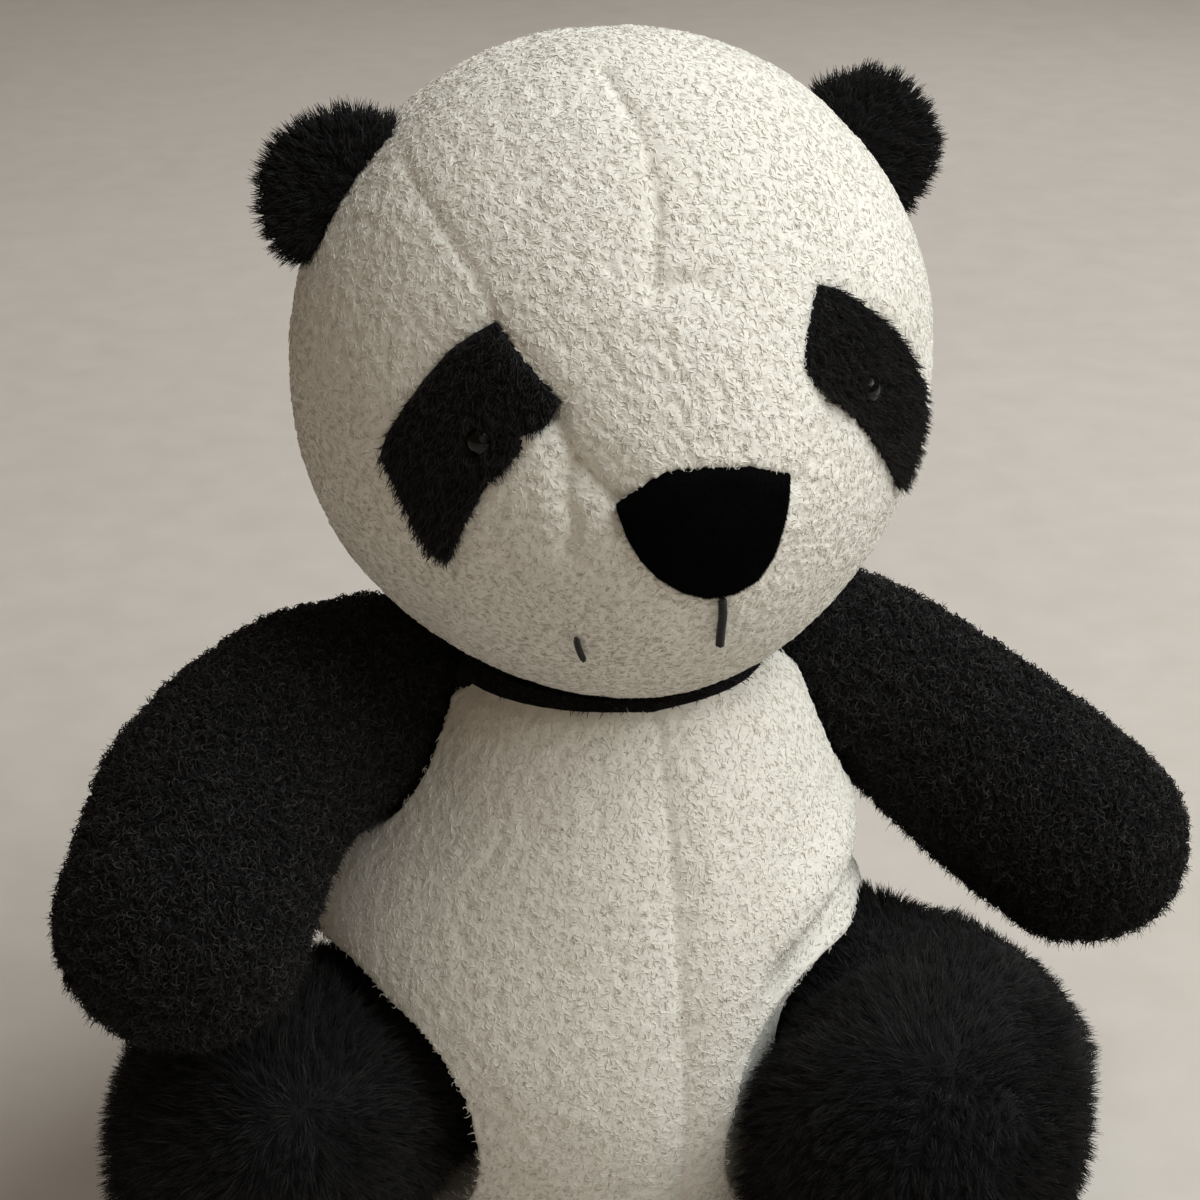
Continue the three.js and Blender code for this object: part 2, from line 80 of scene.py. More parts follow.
# Where the pile of each leg parts in a whorl, from the middle of its foot.
WHORLS = {"leg_right": (4.0, -24.0, 20.8), "leg_left": (3.6, -11.8, 29.5)}

EYE_R, EYE_RISE, EYE_LIFT = 2.7, 1.7, 0.5
# Outlines in x and z from the head's centre, seen from the front.
NOSE_OUTLINE = [(-17.6, -6.4), (-14, -3), (-9.7, 0.2), (-6.4, 0.8), (-0.3, 0.8), (6.8, 0), (14.9, -2.8),
                (14.6, -7.6), (13.6, -12.8), (12.1, -18.3), (9.1, -22.9), (4.6, -25), (-0.8, -25.2), (-5.5, -23.4),
                (-10.2, -20), (-13.4, -16.2), (-15.8, -11.9)]
PATCH_RIGHT = [(-34.9, 24.6), (-32.9, 21.2), (-30.7, 18.1), (-28.3, 14.9), (-25.8, 11.9), (-28.4, 7.7), (-30.1, 6.8),
               (-32.8, 6.7), (-32.8, 2.7), (-36, -1.7), (-38.4, -4.9), (-40.2, -9.3), (-42.1, -15.4), (-43.3, -22.8),
               (-45.3, -22.8), (-47.4, -20.6), (-49.4, -15.9), (-51.6, -10), (-54.1, -3.5), (-53, 1.3),
               (-50.1, 7.5), (-46.7, 13.3), (-42.5, 18.9), (-38.8, 22)]
PATCH_LEFT = [(25.4, 27.4), (29.5, 25.8), (34.1, 22.7), (40.5, 17.5), (45.2, 12.5), (49.6, 6.4), (53.4, -1.6),
              (54.6, -8), (53.2, -15), (50, -20.4), (46.9, -18.8), (42.3, -11.9), (39.1, -7.3), (34.5, -0.9),
              (29.8, 4.6), (26, 8.2), (22.4, 10.9), (20.3, 14.5), (21.6, 19.3), (23.5, 23.6)]


# ---- Numbers ----
def unit(vectors):
    vectors = np.asarray(vectors, float)
    return vectors / np.maximum(np.linalg.norm(vectors, axis=-1, keepdims=True), 1e-9)


def hashed(cells, salt):
    """Numbers from 0 to 1 that belong to whole-number cells."""
    x = cells.astype(np.int64)
    mixed = (x[..., 0] * 73856093) ^ (x[..., 1] * 19349663) ^ (x[..., 2] * 83492791) ^ (salt * 97531)
    mixed = ((mixed ^ (mixed >> 13)) * 1274126177) & 0xFFFFFFFF
    mixed = ((mixed ^ (mixed >> 15)) * 668265263) & 0xFFFFFFFF
    return ((mixed >> 8) & 0xFFFF) / 65536.0


def noise(points, size, salt=0):
    """Smooth noise from -1 to 1, with lumps of this size."""
    scaled = points / size
    base = np.floor(scaled)
    part = scaled - base
    part = part * part * (3 - 2 * part)
    total = np.zeros(points.shape[:-1])
    for corner in np.ndindex(2, 2, 2):
        weight = np.prod(np.where(corner, part, 1 - part), axis=-1)
        total += weight * hashed(base + corner, salt)
    return 2 * total - 1


def lumps(points, size, salt=0):
    """The nearest of a jittered lattice of lumps: its distance as a share of the size, and its place."""
    scaled = points / size
    base = np.floor(scaled)
    best = np.full(points.shape[:-1], 9.0)
    place = np.zeros_like(scaled)
    for step in np.ndindex(3, 3, 3):
        cell = base + step - 1
        spot = cell + np.stack([hashed(cell, salt + k) for k in (1, 2, 3)], axis=-1)
        distance = ((spot - scaled) ** 2).sum(-1)
        closer = distance < best
        best[closer] = distance[closer]
        place[closer] = spot[closer]
    return np.sqrt(best), place * size


def line_distance(points, line):
    """Distance from each point to a chain of straight pieces."""
    line = np.asarray(line, float)
    best = np.full(len(points), 1e9)
    for a, b in zip(line[:-1], line[1:]):
        along = b - a
        share = np.clip(((points - a) @ along) / (along @ along), 0, 1)
        best = np.minimum(best, np.linalg.norm(points - a - share[:, None] * along, axis=1))
    return best


def smooth_line(points, count):
    """A smooth curve through the points."""
    points = np.asarray(points, float)
    padded = np.vstack([2 * points[0] - points[1], points, 2 * points[-1] - points[-2]])
    t = np.linspace(0, len(points) - 1, count)
    i = np.minimum(t.astype(int), len(points) - 2)
    u = (t - i)[:, None]
    a, b, c, d = (padded[i + k] for k in range(4))
    return 0.5 * (2 * b + (c - a) * u + (2 * a - 5 * b + 4 * c - d) * u ** 2 + (3 * b - a - 3 * c + d) * u ** 3)


def spaced(points, count):
    """Points at even steps along a chain."""
    steps = np.r_[0, np.cumsum(np.linalg.norm(np.diff(points, axis=0), axis=1))]
    at = np.linspace(0, steps[-1], count)
    return np.stack([np.interp(at, steps, points[:, k]) for k in range(points.shape[1])], axis=1)


def inside(outline, x, z):
    """Which of the points (x, z) lie in the closed outline."""
    found = np.zeros(x.shape, bool)
    outline = np.asarray(outline, float)
    for (x1, z1), (x2, z2) in zip(outline, np.roll(outline, -1, axis=0)):
        if z1 == z2:
            continue
        crosses = (z1 > z) != (z2 > z)
        found ^= crosses & (x < (x2 - x1) * (z - z1) / (z2 - z1) + x1)
    return found


# ---- Meshes ----
def make_object(name, points, faces, materials, slots=None):
    """A smooth-shaded object from points in millimetres and faces given as arrays of corner numbers."""
    mesh = bpy.data.meshes.new(name)
    faces = [f for f in faces if len(f)]
    corners = np.concatenate([f.ravel() for f in faces]).astype(np.int32)
    sizes = np.concatenate([np.full(len(f), f.shape[1]) for f in faces])
    mesh.vertices.add(len(points))
    mesh.vertices.foreach_set("co", (np.asarray(points, np.float32) * MM).ravel())
    mesh.loops.add(len(corners))
    mesh.loops.foreach_set("vertex_index", corners)
    mesh.polygons.add(len(sizes))
    mesh.polygons.foreach_set("loop_start", np.r_[0, np.cumsum(sizes)[:-1]].astype(np.int32))
    if slots is not None:
        mesh.polygons.foreach_set("material_index", np.asarray(slots, np.int32))
    mesh.polygons.foreach_set("use_smooth", np.ones(len(sizes), bool))
    mesh.update(calc_edges=True)
    for material in materials:
        mesh.materials.append(material)
    made = bpy.data.objects.new(name, mesh)
    bpy.context.scene.collection.objects.link(made)
    return made


def lattice_faces(rows, cols):
    """Faces of a round lattice closed by a pole at each end: first the quads, then the two fans."""
    index = np.arange(rows * cols).reshape(rows, cols)
    right = np.roll(index, -1, axis=1)
    quads = np.stack([index[:-1], right[:-1], right[1:], index[1:]], axis=-1).reshape(-1, 4)
    first = np.stack([np.full(cols, rows * cols), right[0], index[0]], axis=-1)
    last = np.stack([np.full(cols, rows * cols + 1), index[-1], right[-1]], axis=-1)
    return quads, np.vstack([first, last])


def with_poles(lattice):
    """The lattice's points in a row, then its two poles."""
    poles = lattice[[0, -1]].mean(axis=1)
    return np.vstack([lattice.reshape(-1, 3), poles])


def lattice_normals(lattice):
    """The outward normal at each point of a round lattice."""
    around = np.roll(lattice, -1, axis=1) - np.roll(lattice, 1, axis=1)
    along = np.gradient(lattice, axis=0)
    normal = unit(np.cross(around, along))
    outward = (normal * (lattice - lattice.mean(axis=(0, 1)))).sum()
    return normal if outward > 0 else -normal


def upsampled(values, rows, cols):
    """A coarse lattice of values, closed around, as a smooth fine one."""
    def weights(t):
        return [(1 - t) ** 3 / 6, (3 * t ** 3 - 6 * t ** 2 + 4) / 6,
                (-3 * t ** 3 + 3 * t ** 2 + 3 * t + 1) / 6, t ** 3 / 6]
    count, around = values.shape
    at = np.linspace(0, count - 1, rows)
    base = np.floor(at).astype(int)
    tall = sum(w[:, None] * values[np.clip(base + k - 1, 0, count - 1)] for k, w in enumerate(weights(at - base)))
    at = np.arange(cols) * around / cols
    base = np.floor(at).astype(int)
    return sum(w * tall[:, (base + k - 1) % around] for k, w in enumerate(weights(at - base)))


# ---- Cloth simulation ----
SETTLE_FRAMES = 18
SETTLE_ROWS, SETTLE_COLS = 36, 44


def settled(shape, held, pressure, cap):
    """How far each point of a fine lattice moves outward as its cloth fills, in millimetres.

    shape(rows, cols) gives the lattice and held(points) the share of each point that its seams hold.
    """
    rows, cols = SETTLE_ROWS, SETTLE_COLS
    lattice = shape(rows, cols)
    normals = lattice_normals(lattice)
    cloth = make_object("cloth", with_poles(lattice), lattice_faces(rows, cols), [])
    group = cloth.vertex_groups.new(name="held")
    weights = held(with_poles(lattice))
    for i, weight in enumerate(weights):
        if weight > 0.02:
            group.add([i], float(weight), "REPLACE")
    modifier = cloth.modifiers.new("cloth", "CLOTH")
    settings = modifier.settings
    settings.quality = 5
    settings.mass = 0.3
    settings.tension_stiffness = 12
    settings.compression_stiffness = 12
    settings.bending_stiffness = 0.5
    settings.use_pressure = True
    settings.uniform_pressure_force = pressure
    settings.effector_weights.gravity = 0
    settings.vertex_group_mass = "held"
    modifier.collision_settings.use_collision = False
    modifier.point_cache.frame_start = 1
    modifier.point_cache.frame_end = SETTLE_FRAMES
    for number in range(1, SETTLE_FRAMES + 1):
        bpy.context.scene.frame_set(number)
    filled = cloth.evaluated_get(bpy.context.evaluated_depsgraph_get()).to_mesh()
    moved = np.zeros(len(filled.vertices) * 3)
    filled.vertices.foreach_get("co", moved)
    bpy.context.scene.frame_set(1)
    bpy.data.objects.remove(cloth)
    moved = moved.reshape(-1, 3)[:rows * cols].reshape(rows, cols, 3) / MM
    outward = ((moved - lattice) * normals).sum(-1)
    return np.clip(outward, -cap, cap)


# ---- Pile ----
STRAND_SIDES = 3


def tubes(lines, radii):
    """Thin closed tubes along lines (count x rings x 3), with a radius at each ring."""
    count, rings, _ = lines.shape
    along = unit(np.gradient(lines, axis=1))
    helper = unit(np.cross(along[:, :1], np.array([0.31, 0.67, 0.68]) + 0 * along[:, :1]))
    side = unit(np.cross(along, helper))
    other = np.cross(along, side)
    turn = 2 * np.pi * np.arange(STRAND_SIDES) / STRAND_SIDES
    ring = (side[:, :, None] * np.cos(turn)[:, None] + other[:, :, None] * np.sin(turn)[:, None])
    points = lines[:, :, None] + ring * np.broadcast_to(radii, (count, rings))[:, :, None, None]
    index = np.arange(count * rings * STRAND_SIDES).reshape(count, rings, STRAND_SIDES)
    right = np.roll(index, -1, axis=2)
    quads = np.stack([index[:, :-1], right[:, :-1], right[:, 1:], index[:, 1:]], axis=-1)
    ends = np.stack([index[:, 0, ::-1], index[:, -1]], axis=1)
    return points.reshape(-1, 3), quads.reshape(-1, 4), ends.reshape(-1, 3), quads.shape[1] * quads.shape[2]


def scattered(points, quads, density, rng):
    """Random places on quads: their numbers and how to blend their corners. density is per square mm."""
    corner = points[quads]
    area = 0.5 * np.linalg.norm(np.cross(corner[:, 2] - corner[:, 0], corner[:, 3] - corner[:, 1]), axis=1)
    total = np.cumsum(area * density[quads].mean(axis=1))
    count = int(total[-1])
    chosen = np.searchsorted(total, (np.arange(count) + rng.random(count)) * total[-1] / count)
    chosen = np.minimum(chosen, len(quads) - 1)
    u, v = rng.random((2, count))
    blend = np.stack([(1 - u) * (1 - v), u * (1 - v), u * v, (1 - u) * v], axis=1)
    return quads[chosen], blend


def blended(values, corners, blend):
    return (values[corners] * blend[..., None]).sum(axis=1)


def loose_curls(points, normals, quads, density, rng, reach=(1.2, 2.3), height=0.24, width=0.1):
    """Lines and radii of short curls that lie on the surface."""
    corners, blend = scattered(points, quads, density, rng)
    root = blended(points, corners, blend)
    normal = unit(blended(normals, corners, blend))
    count = len(root)
    first = unit(np.cross(normal, unit(rng.normal(size=(count, 3)))))
    second = np.cross(normal, first)
    rings = 5
    length = rng.uniform(*reach, count)
    bend = rng.normal(0, 0.5, count) + rng.choice([-1, 1], count) * 1.1
    lift = rng.uniform(0.2, height, count)
    line = np.zeros((count, rings, 3))
    t = np.linspace(0, 1, rings)
    step = length / (rings - 1)
    heading = np.zeros(count)
    place = root.copy()
    for k in range(rings):
        line[:, k] = place + normal * (lift * np.sin(np.pi * min(t[k] * 0.8 + 0.05, 1)) - 0.15)[:, None]
        place = place + step[:, None] * (first * np.cos(heading)[:, None] + second * np.sin(heading)[:, None])
        heading = heading + bend * step
    radii = rng.uniform(0.8, 1.25, count)[:, None] * width * np.array([0.9, 1, 1, 0.85, 0.35])
    return line, radii


def plush_strands(points, normals, comb, quads, density, length, rng, clump=2.6, pull=0.62, width=0.15, wild=0.28):
    """Lines and radii of upright pile that leans with the comb and gathers into clumps."""
    corners, blend = scattered(points, quads, density, rng)
    root = blended(points, corners, blend)
    normal = unit(blended(normals, corners, blend))
    lean = blended(comb, corners, blend)
    _, centre = lumps(root, clump, 41)
    toward = centre - root
    toward -= normal * (toward * normal).sum(-1, keepdims=True)
    count = len(root)
    reach = (length[corners] * blend).sum(1) * rng.uniform(0.7, 1.15, count)
    stray = unit(rng.normal(size=(count, 3))) * wild
    rings = 4
    line = np.zeros((count, rings, 3))
    for k, t in enumerate(np.linspace(0, 1, rings)):
        up = reach[:, None] * t
        line[:, k] = (root - normal * 0.3 * (1 - t) + normal * up * (1 - 0.25 * t)
                      + lean * up * t + stray * up * t + toward * pull * t ** 1.5)
    radii = rng.uniform(0.75, 1.2, count)[:, None] * width * np.array([0.9, 1, 0.8, 0.25])
    return line, radii


def make_pile(name, line, radii, materials, shares, rng):
    """The object for a set of strands, whose materials are dealt out by shares."""
    points, quads, ends, per_strand = tubes(line, radii)
    which = rng.choice(len(materials), len(line), p=shares)
    slots = np.concatenate([np.repeat(which, per_strand), np.repeat(which, 2)])
    return make_object(name, points, [quads, ends], materials, slots)


# ---- Materials ----
def node_material(name, colour, roughness, sheen=0.0, specular=0.5, tint=(1, 1, 1)):
    material = bpy.data.materials.new(name)
    material.use_nodes = True
    shader = material.node_tree.nodes["Principled BSDF"]
    shader.inputs["Base Color"].default_value = (*colour, 1)
    shader.inputs["Roughness"].default_value = roughness
    shader.inputs["Specular IOR Level"].default_value = specular
    shader.inputs["Sheen Weight"].default_value = sheen
    shader.inputs["Sheen Roughness"].default_value = 0.5
    shader.inputs["Sheen Tint"].default_value = (*tint, 1)
    return material, shader


def cloth_material(name, dark, light, roughness, blotch, grain, bump, sheen=0.3, specular=0.3, weave=False):
    """Cloth whose colour drifts between two tones in blotches and in fine grain, with a fine bump."""
    material, shader = node_material(name, light, roughness, sheen, specular)
    nodes, links = material.node_tree.nodes, material.node_tree.links
    place = nodes.new("ShaderNodeTexCoord")
    wide = nodes.new("ShaderNodeTexNoise")
    wide.inputs["Scale"].default_value = 1 / blotch
    wide.inputs["Detail"].default_value = 3
    if weave:
        fine = nodes.new("ShaderNodeTexWave")
        fine.inputs["Scale"].default_value = 1 / grain
        fine.inputs["Distortion"].default_value = 1.5
        fine_out = fine.outputs["Color"]
    else:
        fine = nodes.new("ShaderNodeTexNoise")
        fine.inputs["Scale"].default_value = 1 / grain
        fine.inputs["Detail"].default_value = 4
        fine_out = fine.outputs["Fac"]
    for node in (wide, fine):
        links.new(place.outputs["Object"], node.inputs["Vector"])
    blend = nodes.new("ShaderNodeMath")
    blend.operation = "MULTIPLY_ADD"
    blend.inputs[1].default_value = 0.5
    links.new(fine_out, blend.inputs[0])
    half = nodes.new("ShaderNodeMath")
    half.operation = "MULTIPLY"
    half.inputs[1].default_value = 0.5
    links.new(wide.outputs["Fac"], half.inputs[0])
    links.new(half.outputs[0], blend.inputs[2])
    ramp = nodes.new("ShaderNodeValToRGB")
    ramp.color_ramp.elements[0].position = 0.35
    ramp.color_ramp.elements[0].color = (*dark, 1)
    ramp.color_ramp.elements[1].position = 0.62
    ramp.color_ramp.elements[1].color = (*light, 1)
    links.new(blend.outputs[0], ramp.inputs["Fac"])
    links.new(ramp.outputs["Color"], shader.inputs["Base Color"])
    raise_node = nodes.new("ShaderNodeBump")
    raise_node.inputs["Distance"].default_value = bump
    raise_node.inputs["Strength"].default_value = 0.6
    links.new(fine_out, raise_node.inputs["Height"])
    links.new(raise_node.outputs["Normal"], shader.inputs["Normal"])
    return material


FLEECE = cloth_material("fleece_backing", (0.84, 0.82, 0.75), (0.90, 0.885, 0.83), 0.95, 0.018, 0.0007, 0.0004)
FLEECE_CURLS = [node_material(f"fleece_curl_{i}", colour, 0.95, 0.1, 0.1)[0] for i, colour in enumerate([
    (0.88, 0.865, 0.81), (0.85, 0.83, 0.77), (0.81, 0.785, 0.71), (0.90, 0.89, 0.85)])]
FLEECE_SHARES = [0.4, 0.3, 0.15, 0.15]
PLUSH = cloth_material("plush_backing", (0.004, 0.004, 0.005), (0.012, 0.012, 0.014), 0.95, 0.012, 0.0008, 0.0004,
                       sheen=0.1, specular=0.1)
PLUSH_PILE = [node_material(f"plush_pile_{i}", colour, 0.9, 0.03, 0.1)[0] for i, colour in enumerate([
    (0.009, 0.009, 0.0095), (0.015, 0.0147, 0.0153), (0.024, 0.0235, 0.024), (0.042, 0.0405, 0.041)])]
PLUSH_SHARES = [0.35, 0.35, 0.22, 0.08]
# A mix leaning to the lighter pile shades: a painted highlight on the eye patches and the arm curls.
PAINTED_HIGHLIGHT_SHARES = [0.1, 0.25, 0.35, 0.3]
VELVET = cloth_material("velvet", (0.0012, 0.0012, 0.0013), (0.003, 0.003, 0.0033), 0.95, 0.006, 0.0004, 0.0002,
                        sheen=0.0, specular=0.02)
VELVET_NAP = [node_material(f"velvet_nap_{i}", colour, 0.98, 0.0, 0.02)[0] for i, colour in enumerate([
    (0.0012, 0.0012, 0.0013), (0.003, 0.003, 0.0032)])]
THREAD = cloth_material("thread", (0.003, 0.003, 0.003), (0.012, 0.012, 0.013), 0.6, 0.004, 0.0003, 0.0001,
                        specular=0.4, weave=True)
CALICO = cloth_material("calico", (0.5, 0.45, 0.36), (0.68, 0.62, 0.5), 0.9, 0.02, 0.0006, 0.0002, weave=True)
GLASS_BLACK, _ = node_material("eye_gloss", (0.0008, 0.0008, 0.001), 0.05, specular=0.35)
WASHER = cloth_material("washer_plastic", (0.6, 0.6, 0.59), (0.72, 0.72, 0.71), 0.5, 0.01, 0.001, 0.00005)


# ---- Head ----
MUZZLE_DIRECTION = np.array([0, -math.cos(MUZZLE_DROP), -math.sin(MUZZLE_DROP)])


def head_radius(direction):
    """Distance from the head's centre to its cloth, for unit directions."""
    base = 1 / np.linalg.norm(direction / HEAD_RADII, axis=-1)
    away = np.arccos(np.clip(direction @ MUZZLE_DIRECTION, -1, 1)) / MUZZLE_SPREAD
    chin = np.arccos(np.clip(direction @ CHIN_DIRECTION, -1, 1)) / CHIN_SPREAD
    return base + MUZZLE_HEIGHT * np.exp(-away ** 2) + CHIN_HEIGHT * np.exp(-chin ** 2)


def on_head(direction, offset=0.0):
    direction = unit(direction)
    return direction * (head_radius(direction) + offset)[..., None]


def face_point(x, z, offset=0.0):
    """The point of the face with this x and z from the head's centre, raised by an offset."""
    x, z = np.broadcast_arrays(np.asarray(x, float), np.asarray(z, float))
    y = np.full(x.shape, -60.0)
    for _ in range(30):
        point = np.stack([x, y, z], axis=-1)
        radius = np.linalg.norm(point, axis=-1)
        short = head_radius(unit(point)) - radius
        y = y - short * radius / np.maximum(-y, 8.0) * 0.7
    point = np.stack([x, y, z], axis=-1)
    return point + unit(point) * np.asarray(offset, float)[..., None]


def face_line(pairs, count=24):
    pairs = smooth_line(np.asarray(pairs, float), count)
    return face_point(pairs[:, 0], pairs[:, 1])


FOREHEAD_SEAM = face_line([(-6.6, 62), (-4.8, 56), (-4, 50), (-4.8, 42), (-6.4, 35), (-6.8, 31.5)], 30)
FOREHEAD_DART = face_line([(-8, 30.6), (-2, 31.2), (4, 30.0)], 12)
EAR_SEAM_RIGHT = np.array([(-44, -10, 47), (-42, -25, 41), (-38, -37, 33), (-35, -44, 25)], float)
CHEEK_SEAM_RIGHT = face_line([(-26.7, 9), (-24.6, 3), (-20.6, -1.7), (-17, -5.5)], 12)
SNOUT_CREASE = face_line([(-25.4, 0.5), (-25.8, -5), (-24.8, -10), (-25.6, -15)], 12)
CHIN_SEAM = face_line([(2.6, -38), (1.6, -43), (0.6, -48)], 8)
CHIN_CREASE = np.array([(-24, -43, -42), (-16, -42, -46), (-3, -38, -52), (10, -36, -53)], float)
SIDE_FLIP = np.array([-1, 1, 1])
HEAD_SEAMS = [  # line, width and depth
    (FOREHEAD_SEAM, 1.3, 0.7), (FOREHEAD_SEAM, 4.5, 0.35), (FOREHEAD_DART, 1.6, 0.5), (FOREHEAD_DART, 4.0, 0.3),
    (EAR_SEAM_RIGHT, 1.3, 0.6), (EAR_SEAM_RIGHT, 4.5, 0.4),
    (EAR_SEAM_RIGHT * SIDE_FLIP, 1.3, 0.8), (EAR_SEAM_RIGHT * SIDE_FLIP, 4.5, 0.6),
    (CHEEK_SEAM_RIGHT, 1.5, 1.3), (CHEEK_SEAM_RIGHT, 5.0, 1.7),
    (CHEEK_SEAM_RIGHT * SIDE_FLIP, 1.3, 0.8), (CHEEK_SEAM_RIGHT * SIDE_FLIP, 4.5, 0.9),
    (SNOUT_CREASE, 1.4, 1.1), (SNOUT_CREASE, 3.5, 0.8), (CHIN_SEAM, 1.2, 0.6), (CHIN_CREASE, 2.0, 0.7),
]
BACK_SEAM_Y = 8.0


def head_lattice(rows, cols):
    """The head's cloth around its centre, with the poles under the nose and at the back."""
    angle = (np.arange(rows) + 0.5) * np.pi / rows
    turn = 2 * np.pi * np.arange(cols) / cols
    pole = unit(np.array([0, -1, -0.18]))
    up = unit(np.cross(pole, [1, 0, 0]))
    side = np.cross(up, pole)
    direction = (np.cos(angle)[:, None, None] * pole
                 + np.sin(angle)[:, None, None] * (np.cos(turn)[:, None] * side + np.sin(turn)[:, None] * up))
    return on_head(direction)


def head_grooves(points):
    """How deep the seams pull the cloth in, and where the pile is parted."""
    depth = np.zeros(len(points))
    parted = np.zeros(len(points))
    for line, width, deep in HEAD_SEAMS:
        pull = np.exp(-(line_distance(points, line) / width) ** 2)
        depth += deep * pull
        if width < 2:
            parted = np.maximum(parted, pull)
    across = np.abs(points[:, 1] - BACK_SEAM_Y)
    middle = np.where(points[:, 1] > BACK_SEAM_Y, np.abs(points[:, 0]), 99)
    for distance in (across, middle):
        depth += 1.0 * np.exp(-(distance / 1.1) ** 2) + 0.6 * np.exp(-(distance / 4.5) ** 2)
        parted = np.maximum(parted, np.exp(-(distance / 1.1) ** 2))
    return depth, parted


def fleece_bumps(points):
    """The lumpy surface of curled fleece, from about -1 to 1."""
    warp = np.stack([noise(points, 2.4, k) for k in (11, 12, 13)], axis=-1) * 0.8
    near, _ = lumps(points + warp, 2.0, 21)
    small, _ = lumps(points + warp * 0.5, 1.15, 25)
    return 0.75 * (1 - 2.2 * near ** 1.3) + 0.35 * (1 - 2 * small) + 0.35 * noise(points, 7, 31)


def build_head():
    rows, cols = 270, 560
    lattice = head_lattice(rows, cols)
    flat = lattice.reshape(-1, 3)
    normals = lattice_normals(lattice).reshape(-1, 3)

    def held(points):
        return np.clip(1.2 * head_grooves(points)[1] + np.where(points[:, 2] < -52, 1, 0), 0, 1)

    puff = upsampled(settled(head_lattice, held, 1.2, 1.2), rows, cols).ravel()
    depth, parted = head_grooves(flat)
    front = flat[:, 1] < 0
    under = {name: front & inside(outline, flat[:, 0], flat[:, 2])
             for name, outline in (("right", PATCH_RIGHT), ("left", PATCH_LEFT), ("nose", NOSE_OUTLINE))}
    sunk = np.zeros(len(flat))
    for name, mask in under.items():
        sunk[mask] = 2.0 if name != "nose" else 1.0
    edge = np.zeros(len(flat))
    for outline in (PATCH_RIGHT, PATCH_LEFT):
        ring = np.vstack([outline, outline[:1]])
        edge = np.maximum(edge, np.exp(-(line_distance(flat, face_point(ring[:, 0], ring[:, 1])) / 2.2) ** 2))
    bumps = fleece_bumps(flat)
    height = puff - depth - sunk - 0.9 * edge + 0.42 * bumps * (1 - 0.5 * parted) + 0.5 * noise(flat, 22, 5) + 0.9
    skin = flat + normals * height[:, None]
    quads, fans = lattice_faces(rows, cols)
    points = with_poles(skin.reshape(rows, cols, 3)) + HEAD_CENTRE
    head = make_object("head_skin", points, [quads, fans], [FLEECE])
    rng = np.random.default_rng(101)
    density = np.where(flat[:, 1] > 12, 0.8, 1.7) * np.clip(0.9 + 0.6 * bumps, 0.3, 1.5)
    density *= 1 - 0.4 * parted
    density[sunk > 0.5] = 0
    line, radii = loose_curls(skin + HEAD_CENTRE, normals, quads, density, rng)
    pile = make_pile("head_fleece_curls", line, radii, FLEECE_CURLS, FLEECE_SHARES, rng)
    return head, pile


def patch_lattice(outline, rows, cols, thickness, centre=None):
    """A pad on the face inside an outline: the points of its top, its rim and its middle."""
    outline = np.asarray(outline, float)
    around = spaced(np.vstack([outline, outline[:1]]), cols + 1)[:-1]
    middle = np.asarray(centre if centre is not None else outline.mean(axis=0), float)
    share = np.linspace(0, 1, rows + 1)[1:]
    flat = middle + (around - middle)[None] * share[:, None, None]
    rise = thickness * (1 - np.clip((share - 0.86) / 0.14, 0, 1) ** 2 * 0.55)
    lifts = np.broadcast_to(rise[:, None], flat.shape[:2])
    top = face_point(flat[..., 0], flat[..., 1], lifts)
    rim = face_point(around[:, 0], around[:, 1], np.full(len(around), -1.6))
    pole = face_point(middle[:1], middle[1:], np.array([thickness]))
    return top, rim, pole


def pad_faces(rows, cols):
    index = np.arange(rows * cols).reshape(rows, cols)
    right = np.roll(index, -1, axis=1)
    quads = np.stack([index[:-1], index[1:], right[1:], right[:-1]], axis=-1).reshape(-1, 4)
    rim = rows * cols + np.arange(cols)
    rims = np.stack([index[-1], rim, np.roll(rim, -1), right[-1]], axis=-1)
    fan = np.stack([np.full(cols, rows * cols + cols), index[0], right[0]], axis=-1)
    return np.vstack([quads, rims]), fan, quads


def build_patch(name, outline, centre):
    rows, cols = 44, 200
    top, rim, pole = patch_lattice(outline, rows, cols, 0.9, centre)
    flat = top.reshape(-1, 3)
    normals = unit(flat / HEAD_RADII ** 2)
    clump, _ = lumps(flat, 2.2, 51)
    bumps = 0.45 * (1 - 2 * clump) + 0.3 * noise(flat, 1.1, 52)
    edge = np.repeat(np.linspace(0, 1, rows + 1)[1:] < 0.99, cols)
    flat = flat + normals * (bumps * edge)[:, None]
    faces, fan, quads = pad_faces(rows, cols)
    points = np.vstack([flat, rim, pole]) + HEAD_CENTRE
    pad = make_object(f"eye_patch_{name}_skin", points, [faces, fan], [PLUSH])
    rng = np.random.default_rng(200 + len(name))
    comb = np.tile(np.array([0.1, -0.05, -0.45]), (len(flat), 1))
    eye = face_point(np.array(EYE_AT[name][0]), np.array(EYE_AT[name][2]))
    density = np.where(np.linalg.norm(flat - eye, axis=1) < 2.7, 0.0, 5.0)
    line, radii = plush_strands(flat + HEAD_CENTRE, normals, comb, quads, density, np.full(len(flat), 1.9), rng,
                                clump=2.0, pull=0.55, width=0.1, wild=0.5)
    # The patch pile takes the lighter mix of shades, a painted highlight.
    pile = make_pile(f"eye_patch_{name}_pile", line, radii, PLUSH_PILE, PAINTED_HIGHLIGHT_SHARES, rng)
    return pad, pile


